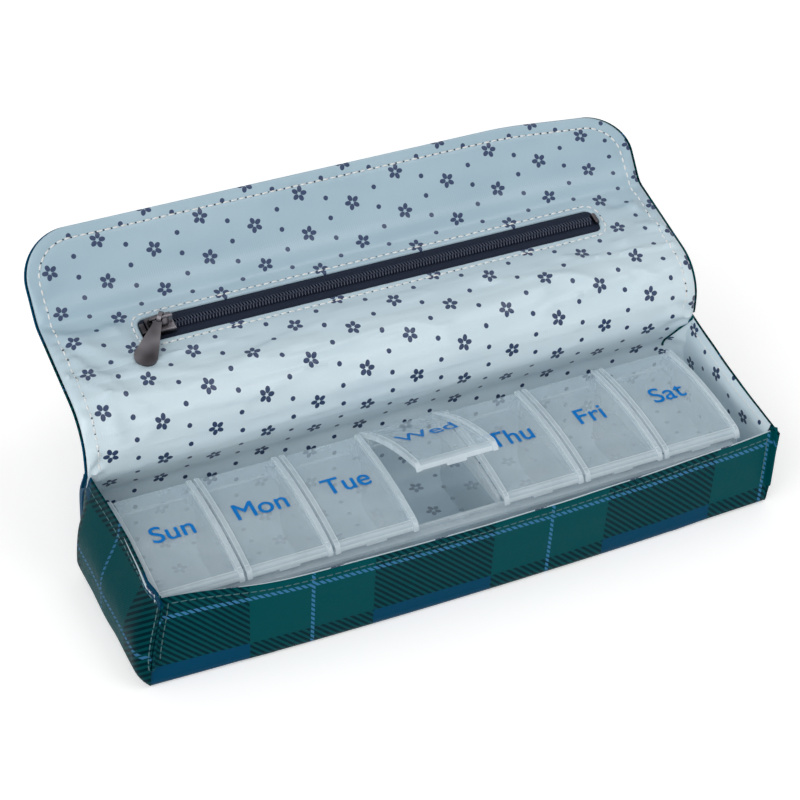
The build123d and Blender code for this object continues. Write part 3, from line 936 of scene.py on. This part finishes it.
def flap_x(column, s):
    """Where a column of the flap's grid lies at a place along the flap."""
    return column * flap_reach(s) / flap_half


window_low = zip_s - window_half - window_margin
window_high = zip_s + window_half + window_margin
window_breaks = (window_low, window_high)


def in_window(s, x):
    """Whether a place lies in the part of the lining that is left open for the zip."""
    return window_low < s < window_high and window_left < x < window_right


def nearest_index(values, target):
    """Index of the value next to a target."""
    return int(np.abs(np.array(values) - target).argmin())


# Rings of lining round the zip window: share of the way in, inset past the edge and depth below
window_steps = (
    (0.35, 0.0, 0.0),
    (0.7, 0.0, 0.0),
    (0.92, 0.0, 0.02),
    (1.0, 0.0, 0.2),
    (1.0, 0.22, 0.55),
    (1.0, 0.25, 0.95),
)


def window_rings(rows, first):
    """Lining round the zip window, from the grid's straight opening in to its turned-down edge."""
    width = len(flap_columns)
    low, high = (nearest_index(rows, s) for s in window_breaks)
    left, right = (nearest_index(flap_columns, x) for x in (window_left, window_right))
    loop = [(low, c) for c in range(left, right)] + [(r, right) for r in range(low, high)]
    loop += [(high, c) for c in range(right, left, -1)] + [(r, left) for r in range(high, low, -1)]
    points, cloth = [], []
    for share, inset, sink in window_steps:
        for row, column in loop:
            x, s = flap_columns[column], rows[row]
            core_x = zip_window_shift + min(max(x - zip_window_shift, -window_core_x), window_core_x)
            core_s = zip_s + min(max(s - zip_s, -window_core_s), window_core_s)
            reach = (zip_window_corner - inset) / sqrt((x - core_x) ** 2 + (s - core_s) ** 2)
            edge_x, edge_s = core_x + (x - core_x) * reach, core_s + (s - core_s) * reach
            place = (x + (edge_x - x) * share, s + (edge_s - s) * share)
            points.append(lining_point(*place, sink))
            cloth.append((place[0], place[1] + wall_v))
    count = len(loop)
    rings = [[row * width + column for row, column in loop]]
    rings += [[first + k * count + i for i in range(count)] for k in range(len(window_steps))]
    faces = []
    for outer, inner in zip(rings, rings[1:]):
        for i in range(count):
            j = (i + 1) % count
            faces.append((outer[i], outer[j], inner[j], inner[i]))
    return points, faces, cloth


def flap_sheet(name, span, point, material, flip, thickness, margin, extra, has_window):
    """One stretch of the flap's lining or shell as a sheet of cloth."""
    rows = flap_rows(*flap_spans[span], extra)
    places = [(flap_x(c, s), s) for s in rows for c in flap_columns]
    points = [(x * (1 + margin / flap_half), y, z) for x, y, z in (point(*p) for p in places)]
    cloth = [(x, s + wall_v) for x, s in places]
    open_cells = set()
    if has_window:
        middles_s = [(a + b) / 2 for a, b in zip(rows, rows[1:])]
        middles_x = [(a + b) / 2 for a, b in zip(flap_columns, flap_columns[1:])]
        open_cells = {
            (i, j) for i, s in enumerate(middles_s) for j, x in enumerate(middles_x) if in_window(s, x)
        }
    faces = grid_faces(len(rows), len(flap_columns), flip, open_cells)
    if has_window:
        ring_points, ring_faces, ring_cloth = window_rings(rows, len(points))
        points += ring_points
        faces += ring_faces
        cloth += ring_cloth
    return thicken(mesh_piece(name, points, faces, cloth, material), thickness)


def across_fold(piece):
    """Bakes a piece's place into its mesh."""
    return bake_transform(piece)


def flap_seam():
    """Seam line along the flap's sides, round its free corners and along its free edge."""
    side = flap_half - stitch_inset
    turn = front_flap_corner - stitch_inset
    centre = flap_half - front_flap_corner
    up = [(-side, s) for s in spread([riser_s + 1.5, corner_start], 1.0)]
    angles = [radians(a) for a in range(4, 90, 4)]
    arc = [(-centre - turn * cos(a), corner_start + turn * sin(a)) for a in angles]
    top = [(x, flap_end - stitch_inset) for x in spread([-centre, 0.0], 1.0)]
    half = up + arc + top
    return half + [(-x, s) for x, s in reversed(half[:-1])]


def window_seam():
    """Seam line round the zip window."""
    reach = zip_window_corner + window_stitch_inset
    line = []
    for turn, (side_x, side_s) in enumerate(((1, 1), (-1, 1), (-1, -1), (1, -1))):
        x, s = zip_window_shift + side_x * window_core_x, zip_s + side_s * window_core_s
        angles = [radians(turn * 90 + a) for a in range(0, 91, 9)]
        line.extend((x + reach * cos(a), s + reach * sin(a)) for a in angles)
    line.append(line[0])
    dense = []
    for (x0, s0), (x1, s1) in zip(line, line[1:]):
        count = max(1, round(sqrt((x1 - x0) ** 2 + (s1 - s0) ** 2)))
        dense.extend((x0 + (x1 - x0) * i / count, s0 + (s1 - s0) * i / count) for i in range(count))
    return dense + [line[0]]


flap_nodes = {
    "lower": (("riser_shell", "riser_padding"), ("riser_lining",)),
    "middle": (("zip_panel_shell", "zip_panel_padding", "pocket_bag"), ()),
    "upper": (("front_flap_shell", "front_flap_board"), ("zip_panel_lining", "front_flap_lining")),
}


def flap_pieces(span, shell_nodes, lining_nodes):
    """Shell, lining and seams of one stretch of the flap."""
    low, high = flap_spans[span]
    has_window = span == "upper"
    shell = flap_sheet(
        f"flap_shell_{span}", span, shell_point, plaid, True, cloth_thickness, shell_margin, (), False
    )
    cloth = flap_sheet(
        f"flap_lining_{span}", span, lining_point, lining, False, lining_thickness, 0.0, window_breaks,
        has_window,
    )
    trims = [stitches(f"flap_seam_{span}", flap_seam(), lining_point, pale_thread, (low, high))]
    back_seam = stitches(f"flap_back_seam_{span}", flap_seam()[::-1], shell_point, dark_thread, (low, high))
    if has_window:
        trims.append(stitches("zip_window_seam", window_seam(), lining_point, pale_thread))
    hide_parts(*shell_nodes)
    if lining_nodes:
        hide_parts(*lining_nodes)
    for piece in (shell, cloth, back_seam, *trims):
        across_fold(piece)


for span, (shell_nodes, lining_nodes) in flap_nodes.items():
    flap_pieces(span, shell_nodes, lining_nodes)


# Case cloth


def flange_share(z):
    """Share of the turned-out seam allowance, which runs out above the bottom corner."""
    return ease((z - flange_start) / flange_width)


foot_outer = np.array(shell_point(0.0, 0.0)[1:])
foot_inner = np.array(lining_point(0.0, 0.0)[1:])


@lru_cache(maxsize=None)
def outer_profile(x):
    """Outside of the case across its length, from the front hem down, under and up the back."""
    top = front_rim(x) - hem_roll
    front = front_y(x, top)
    return Profile(
        [
            (front + 2 * hem_roll, top - hem_depth), (front + 2 * hem_roll, top), (front, top),
            (front_y(x, 0), 0), (rear_y(0), 0), (rear_y(knee_height), knee_height), foot_outer,
        ],
        [hem_turn, hem_turn, wrap_corner, wrap_corner, knee_round],
    )


@lru_cache(maxsize=None)
def inner_profile(x):
    """Inside of the case across its length, from over the front hem to the back wall."""
    top = front_rim(x) - lining_hem_drop
    front = front_y(x, top)
    return Profile(
        [
            (front + lining_hem_inset, top - lining_hem_depth), (front + lining_hem_inset, top),
            (front + wall, top),
            (front_y(x, floor) + wall, floor), (rear_y(floor) - wall, floor),
            (rear_y(knee_height) - wall, knee_height), foot_inner,
        ],
        [lining_hem_round, lining_hem_round, case_corner - wall, case_corner - wall, knee_round - wall],
    )


seam_gap = 0.8
outer_middle = outer_profile(0.0)
hem_v = outer_middle.nearest((front_y(0, front_height), front_rim(0.0)))


def outer_point(x, share, turn_out=0.0):
    """A place on the case's outer fabric, by its share of the way round."""
    line = outer_profile(x)
    s = share * line.length
    y, z = line.at(s)
    inward = line.normal(s)
    puff = 0.35 * ripple(x / 26, s / 15, 6.6) * ease((s - 6) / 6) * ease((line.length - s) / 6)
    if z < 1.0:
        puff = 0.0
    turned = flange_share(z)
    y, z = np.array([y, z]) - inward * (puff + turn_out * turned)
    beside = turn_out / flange_width * seam_gap * (1 - turned)
    return np.array((x + (beside if x > 0 else -beside), y, max(z, ground_gap))) + case_pull(x, y, z)


def outer_cloth(x, share, turn_out=0.0):
    """Plaid coordinates there, which stay in place where the cloth is drawn in."""
    line = outer_profile(x)
    s = share * line.length
    drawn = case_pull(x, *line.at(s))
    return x + (turn_out if x > 0 else -turn_out) + drawn[0], s - hem_v - drawn[2]


wrap_half = half_length - 0.9
wrap_columns = spread([-wrap_half, wrap_half], 1.6)
wrap_shares = spread([0.0, 0.05, 0.13, 0.3, 0.45, 0.62, 0.78, 1.0], 0.011)
flange_steps = (0.35, 0.9, 1.6, flange_width)
wrap_sides = [(-wrap_half, t) for t in reversed(flange_steps)] + [(x, 0.0) for x in wrap_columns]
wrap_sides += [(wrap_half, t) for t in flange_steps]
points = [outer_point(x, share, t) for share in wrap_shares for x, t in wrap_sides]
cloth = [outer_cloth(x, share, t) for share in wrap_shares for x, t in wrap_sides]
case_wrap = grid_sheet("case_wrap", points, len(wrap_sides), cloth, plaid, cloth_thickness, True)

hem_seam_share = (hem_v + hem_seam_inset) / outer_middle.length
hem_line = [(x, hem_seam_share) for x in spread([-wrap_half + 2, wrap_half - 2], 1.0)]
hem_seam = stitches("front_hem_seam", hem_line[::-1], outer_point, dark_thread)
edge_seams = []
for name, x in (("left", hem_seam_inset - wrap_half), ("right", wrap_half - hem_seam_inset)):
    edge_line = [(x, share) for share in spread([0.045, 0.2], 0.004)]
    edge_seams.append(stitches(f"front_{name}_edge_seam", edge_line, outer_point, dark_thread))
for piece in (case_wrap, hem_seam, *edge_seams):
    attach(piece, "case")
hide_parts("case_shell", "case_padding")


def inner_point(x, share):
    """A place on the case's lining, by its share of the way round."""
    line = inner_profile(x)
    s = share * line.length
    inward = line.normal(s)
    fold = 0.3 * ripple(x / 18, s / 12, 3.3) * ease((s - 8) / 6) * ease((line.length - s) / 6)
    y, z = line.at(s) + inward * fold
    return np.array((x, y, z)) + case_pull(x, y, z, lining_pull)


inner_middle = inner_profile(0.0)
lining_half = half_length - 1.0
inner_columns = spread([-lining_half, lining_half], 1.8)
inner_shares = spread([0.0, 0.05, 0.2, 0.32, 0.5, 0.66, 0.8, 1.0], 0.012)
points = [inner_point(x, share) for share in inner_shares for x in inner_columns]
cloth = [(x, (share - 1) * inner_middle.length + wall_v) for share in inner_shares for x in inner_columns]
case_inside = grid_sheet("case_inside", points, len(inner_columns), cloth, lining, lining_thickness)
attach(case_inside, "case")
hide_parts("case_lining")


# End panels


def patch(bottom, top, front, rear, w, q):
    """A place in a four-sided patch of the YZ plane between its edge lines."""
    low, high = (line.at(w * line.length) for line in (bottom, top))
    near, far = (line.at(q * line.length) for line in (front, rear))
    across = (1 - q) * low + q * high + (1 - w) * near + w * far
    front_corners = (1 - q) * bottom.at(0.0) + q * top.at(0.0)
    rear_corners = (1 - q) * bottom.at(bottom.length) + q * top.at(top.length)
    return across - (1 - w) * front_corners - w * rear_corners


end_inside = half_length - wall
rim_lift = {-1: 3.0, 1: 0.5}
rim_lift_end = {-1: 23.0, 1: 43.0}


def rim_rise(side, y):
    """How far an end's rim is drawn up, in the room that the closed flap leaves over it."""
    return rim_lift[side] * ease((y + 40) / 34) * ease((rim_lift_end[side] - y) / 20)


def end_edges(side, inset, base, out, rim_drop, rear_inset):
    """Edge lines of an end panel: round its bottom, along its rim and up its front and back."""
    start = case_corner + base

    def front_at(z):
        return front_y(half_length, z) + inset - out * flange_share(z)

    def rear_at(z):
        return rear_y(z) - rear_inset + out * flange_share(z)

    bottom = Profile(
        [
            (front_at(start), start), (front_y(half_length, base) + inset, base),
            (rear_y(base) - rear_inset, base), (rear_at(start), start),
        ],
        [wrap_corner, wrap_corner],
    )
    front_top = front_at(front_height)
    rear_top = rear_at(rear_height)
    rim = []
    for share in spread([0.0, 1.0], 0.04):
        y = front_top + (rear_top - front_top) * share
        rim.append((y, rim_z(y) - rim_drop + rim_rise(side, y)))
    front_heights = spread([start, rim[0][1]], 1.0)
    rear_heights = spread([start, knee_height - 8, knee_height, knee_height + 7, rim[-1][1]], 1.0)
    front = Profile([(front_at(z), z) for z in front_heights], [])
    rear = Profile([(rear_at(z), z) for z in rear_heights], [])
    return bottom, Profile(rim, []), front, rear


outer_edges = {side: end_edges(side, 0.0, 0.0, flange_width, 0.3, 0.0) for side in (-1, 1)}
lining_drop = {-1: 1.5, 1: 0.15}
inner_edges = {
    side: end_edges(side, wall, floor, 0.0, lining_drop[side], 0.5) for side in (-1, 1)
}
end_swell = {-1: 4.0, 1: 1.4}
end_lean = {-1: 1.6, 1: 0.8}
end_puff = {-1: 0.2, 1: 1.4}
end_hem = 0.6
end_hem_fall = 1.6
hem_turns = {-1: (25, 50, 75, 90, 120, 150, 180), 1: (25, 50, 75, 90, 120)}


def end_bulge(side, w, q):
    """How far an end panel swells out below and leans in at the middle of its rim."""
    middle = sin(pi * w)
    low = 1 - (1 - min(q / 0.22, 1.0)) ** 2
    swell = end_swell[side] * ease(w / 0.14) * ease((1 - w) / 0.14) * low * ease((1 - q) / 0.5)
    lean = end_lean[side] * middle * ease((q - 0.45) / 0.55)
    wobble = 0.3 * ripple(w * 5, q * 3, 2.0 * side) * middle
    return swell + wobble - lean


def end_point(side, w, q, roll=0.0):
    """A place on an end panel's outer fabric, rolled over its hem by an angle."""
    y, z = patch(*outer_edges[side], w, min(q, 1.0))
    x = half_length + end_bulge(side, w, min(q, 1.0))
    x -= end_hem * (1 - cos(roll))
    z += end_hem * sin(roll) if roll <= pi / 2 else end_hem - end_hem_fall * (roll - pi / 2)
    return np.array((side * x, y, max(z, ground_gap))) + case_pull(side * x, y, z)


def inside_point(side, w, q):
    """A place on an end panel's lining, which is puffed and meets the hem at the rim."""
    y, z = patch(*inner_edges[side], w, q)
    flare = (wall - 2 * end_hem - 0.05) * ease((q - 0.8) / 0.2)
    puff = end_puff[side] * sin(pi * w) * sin(pi * q) ** 0.7
    crumple = 0.35 * ripple(w * 7, q * 4, 11.0 + side) * sin(pi * q)
    x = end_inside + end_bulge(side, w, q) * 0.8 + flare - puff + crumple
    return np.array((side * x, y, z)) + case_pull(side * x, y, z, lining_pull)


plaid_tilt = radians(4)
cross_place = {-1: (0.8, 16.0), 1: (3.0, 20.0)}


def end_cloth(side, y, z):
    """Plaid coordinates on an end panel, whose cloth is cut at a slant."""
    dy, dz = y - cross_place[side][0], z - cross_place[side][1]
    u = dy * cos(plaid_tilt) + dz * sin(plaid_tilt)
    v = -dz * cos(plaid_tilt) + dy * sin(plaid_tilt)
    return plaid_start + plaid_repeat / 4 + u, plaid_row + v


face_rows = [(q, 0.0) for q in spread([0.0, 0.1, 0.5, 0.9, 1.0], 0.03)]
end_columns = spread([0.0, 0.06, 0.94, 1.0], 0.017)
inner_rows = spread([0.0, 1.0], 0.03)
seam_shares = spread([0.04, 0.96], 0.012)
side_shares = spread([0.1, 0.9], 0.02)
rim_seam_place = 0.915
side_seam_place = 0.032
lining_seam_place = 0.925
end_print_shift = 40
end_seams = {
    "rim": [(w, rim_seam_place) for w in seam_shares],
    "front": [(side_seam_place, q) for q in side_shares],
    "rear": [(1 - side_seam_place, q) for q in side_shares],
}
lining_line = [(w, lining_seam_place) for w in seam_shares]


def end_pieces(name, side):
    """Shell, lining and seams of one end of the case."""
    surface = partial(end_point, side)
    columns = len(end_columns)
    end_rows = face_rows + [(1.0, radians(a)) for a in hem_turns[side]]
    points = [surface(w, *row) for row in end_rows for w in end_columns]
    cloth = [end_cloth(side, y, z) for _, y, z in points]
    panel = grid_sheet(f"{name}_panel", points, columns, cloth, shaded_end_plaid, cloth_thickness, side < 0)
    inner_surface = partial(inside_point, side)
    points = [inner_surface(w, q) for q in inner_rows for w in end_columns]
    cloth = [(y + side * end_print_shift, z + wall_v - rear_height) for _, y, z in points]
    inside = grid_sheet(f"{name}_inside", points, columns, cloth, lining, lining_thickness, side > 0)
    seams = []
    for seam_name, line in end_seams.items():
        ordered = line if side < 0 else line[::-1]
        seams.append(stitches(f"{name}_{seam_name}_seam", ordered, surface, dark_thread))
    ordered = lining_line[::-1] if side < 0 else lining_line
    lining_seam = stitches(f"{name}_lining_seam", ordered, inner_surface, pale_thread)
    for piece in (panel, inside, lining_seam, *seams):
        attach(piece, "case")
    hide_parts(f"{name}_shell", f"{name}_padding")
    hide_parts(f"{name}_lining")


end_pieces("left_end", -1)
end_pieces("right_end", 1)


# Gusset that rounds the case's rear right corner inside, where the tray leaves room
gusset_round = 9.5
gusset_low = 24.0
gusset_high = 46.6
gusset_tip = 0.4
gusset_taper = 12.0
gusset_side_gap = 1.6
gusset_back_gap = 0.5
piping_show = 0.75
piping_radius = 0.45


def gusset_section(rise):
    """Height and radius of the gusset at a share of its height."""
    z = gusset_low + (gusset_high - gusset_low) * rise
    return z, gusset_tip + gusset_round * min(1.0, (gusset_high - z) / gusset_taper)


def gusset_point(turn, rise):
    """A place on the gusset, by its angle from the back wall and its share of the height."""
    z, radius = gusset_section(rise)
    reach = radius - 0.25 * ripple(turn * 2, rise * 5, 14.0) * sin(2 * turn)
    centre_x = half_length - gusset_side_gap - radius
    centre_y = rear_y(z) - wall + gusset_back_gap - radius
    return np.array((centre_x + reach * sin(turn), centre_y + reach * cos(turn), z))


def gusset_fold(rise):
    """Angle at which the gusset meets the back wall's lining."""
    return np.arccos(max(0.0, 1 - piping_show / gusset_section(rise)[1]))


gusset_turns = [radians(a) for a in range(0, 91, 6)]
gusset_columns = len(gusset_turns)
gusset_places = [(turn, rise) for rise in spread([0.0, 1.0], 0.04) for turn in gusset_turns]
points = [gusset_point(turn, rise) for turn, rise in gusset_places]
cloth = [(gusset_round * turn, gusset_high * (rise - 1) + wall_v) for turn, rise in gusset_places]
gusset = grid_sheet("right_gusset", points, gusset_columns, cloth, lining, lining_thickness)
# Plaid piping along the gusset's fold: the shell's edge, and also painted shade of the fold
points, faces = [], []
piping_path = [gusset_point(gusset_fold(rise), rise) for rise in spread([0.3, 1.0], 0.05)]
tube(piping_path, piping_radius, 8, points, faces)
piping_and_fold_shade = mesh_piece("right_gusset_piping_and_fold_shade", points, faces, [(x, y) for x, y, _ in points], plaid)
for piece in (gusset, piping_and_fold_shade):
    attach(piece, "case")


# Zip


def zip_point(x, across, height):
    """A place on the zip: along it, across it towards the crease, and over the panel's middle."""
    normal = np.array([-panel_direction[1], panel_direction[0]])
    y, z = zip_place + panel_direction * across + normal * height
    return x, y, z


tape_height = 0.15
tape_rib = 0.3
tape_rib_place = 2.3
tape_rib_width = 0.45
tape_end = zip_window_length / 2 + tape_overlap
tape_x = spread([zip_window_shift - tape_end, zip_window_shift + tape_end], 2.0)
tape_across = spread([-tape_reach, 0.0, tape_reach], 0.5)
tape_places = [(x, across) for across in tape_across for x in tape_x]
points = []
for x, across in tape_places:
    rib = tape_rib * bell(abs(across) - tape_rib_place, tape_rib_width)
    points.append(zip_point(x, across, tape_height + rib))
zip_tape = grid_sheet("zip_tape", points, len(tape_x), tape_places, tape_cloth, lining_thickness)
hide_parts("zip_tapes")

coil_pitch = 1.1
coil_wire = 0.3
coil_start = zip_window_shift - chain_length / 2 + coil_pitch / 2
coil_base = tape_height + 0.05

# One tooth of the coil: its points along, across and over the tape
coil_tooth = (
    (-0.2, 1.55, 0.1), (-0.18, 1.6, 0.6), (-0.08, 1.15, 0.95), (0.08, 0.4, 1.0), (0.26, -0.3, 0.6),
)
points, faces = [], []
for side in (-1, 1):
    for i in range(int(chain_length / coil_pitch)):
        x = coil_start + coil_pitch * (i + (0.5 if side > 0 else 0.0))
        tooth = [zip_point(x + dx, side * across, coil_base + height) for dx, across, height in coil_tooth]
        tube(tooth, coil_wire, 6, points, faces)
zip_coil = mesh_piece("zip_coil", points, faces, [(0.0, 0.0)] * len(points), coil_nylon)
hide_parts("zip_chain")
for piece in (zip_tape, zip_coil):
    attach(piece, "flap_mid")


# Lids and lettering


def crown(y):
    """Height of the arched top of a closed lid over its hinge."""
    share = (lid_rear - y) / (lid_rear - lid_front)
    return lid_top - lid_front_drop * share + 4 * lid_crown * share * (1 - share)


letter_size = 10.6
letter_width = 0.98
letter_strokes = ((0.0, 0.0), (0.1, 0.05), (-0.1, -0.05), (-0.05, 0.1), (0.05, -0.1))
letter_y = -6.5
ajar_letter_y = -9.0
ink_height = 0.3
ink_layer = 0.004


def letter_outline(text):
    """Flat mesh of a few letters, centred."""
    curve = bpy.data.curves.new(text, "FONT")
    curve.body = text
    curve.size = letter_size
    curve.align_x = "CENTER"
    curve.align_y = "CENTER"
    curve.resolution_u = 6
    source = add_object(text, curve)
    outline = bpy.data.meshes.new_from_object(source.evaluated_get(bpy.context.evaluated_depsgraph_get()))
    bpy.data.objects.remove(source)
    return outline


def day_label(day, x):
    """Ink lettering on a day's lid: thin layers of the same letters, each a little aside."""
    outline = letter_outline(day[:3].capitalize())
    angle, middle_y = (ajar_angle, ajar_letter_y) if day == ajar_day else (0.0, letter_y)
    points, faces = [], []
    for layer, (dx, dy) in enumerate(letter_strokes):
        faces += [[len(points) + v for v in face.vertices] for face in outline.polygons]
        for vertex in outline.vertices:
            along = vertex.co.y + dy + middle_y
            y, z = along - hinge_place[0], crown(along) + ink_height + layer * ink_layer
            points.append((
                x + (vertex.co.x + dx) * letter_width,
                hinge_place[0] + y * cos(angle) + z * sin(angle),
                hinge_place[1] - y * sin(angle) + z * cos(angle),
            ))
    label = mesh_piece(f"label_{day}", points, faces, [(px, py) for px, py, _ in points], ink)
    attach(label, f"lid_{day}")


for i, day in enumerate(days):
    day_label(day, tray_centre + (i - 3) * lid_pitch)

node_looks = {"pill_tray": tray_plastic}
node_looks.update({name: gunmetal for name in ("zip_slider", "zip_pull", "zip_stops")})
node_looks.update({f"lid_{day}": ajar_plastic if day == ajar_day else lid_plastic for day in days})
node_looks.update({name: board for name in ("base_board", "case_magnets", "flap_magnets")})
for name, material in node_looks.items():
    mesh = frame["nodes"][name].data
    mesh.materials.clear()
    mesh.materials.append(material)


# Stage, light and camera

floor_size = 6.0
floor_glow = 0.32
floor_corners = [(x * floor_size, y * floor_size, 0.0) for x, y in ((-1, -1), (1, -1), (1, 1), (-1, 1))]
mesh = bpy.data.meshes.new("floor")
mesh.from_pydata(floor_corners, [], [(0, 1, 2, 3)])
floor_look = Look("floor", roughness=0.9, specular_ior_level=0.1, emission_color=(1.0, 1.0, 1.0, 1.0))
seen = floor_look.seen_directly()
floor_look.colour(floor_look.mix(seen, (0.8, 0.8, 0.8, 1.0), (1.0, 1.0, 1.0, 1.0)))
floor_look.feed(floor_look.shader.inputs["Emission Strength"], seen * floor_glow)
mesh.materials.append(floor_look.material)
add_object("floor", mesh)

world = bpy.data.worlds.new("studio")
world.use_nodes = True
bpy.context.scene.world = world
studio = Nodes(world.node_tree)
background = world.node_tree.nodes["Background"]
background.inputs["Color"].default_value = (1.0, 1.0, 1.0, 1.0)
world_fill = 0.46
studio.feed(background.inputs["Strength"], studio.seen_directly() * (1 - world_fill) + world_fill)


def lamp(name, direction, energy, angle):
    """A soft far lamp in a direction from the object."""
    light = bpy.data.lights.new(name, "SUN")
    light.energy = energy
    light.angle = radians(angle)
    piece = add_object(name, light)
    piece.rotation_mode = "QUATERNION"
    piece.rotation_quaternion = Vector(direction).to_track_quat("Z", "Y")


lamp("key", (0.34, -0.35, 0.87), 0.3, 24)
lamp("fill", (-0.5, -0.75, 0.43), 1.15, 60)
lamp("side", (-0.88, -0.2, 0.42), 0.7, 60)

camera_azimuth = radians(-24.89)
camera_elevation = radians(35.31)
camera_distance = 755.2
camera_target = Vector((-6.93, 10.54, 51.77))
back = Vector((
    sin(camera_azimuth) * cos(camera_elevation),
    -cos(camera_azimuth) * cos(camera_elevation),
    sin(camera_elevation),
))
camera = add_object("camera", bpy.data.cameras.new("camera"))
camera.data.lens = 102.69
camera.data.sensor_width = 36.0
camera.location = (camera_target + back * camera_distance) * MM
camera.rotation_mode = "QUATERNION"
camera.rotation_quaternion = (-back).to_track_quat("-Z", "Y")
bpy.context.scene.camera = camera
bpy.context.scene.view_settings.view_transform = "Standard"
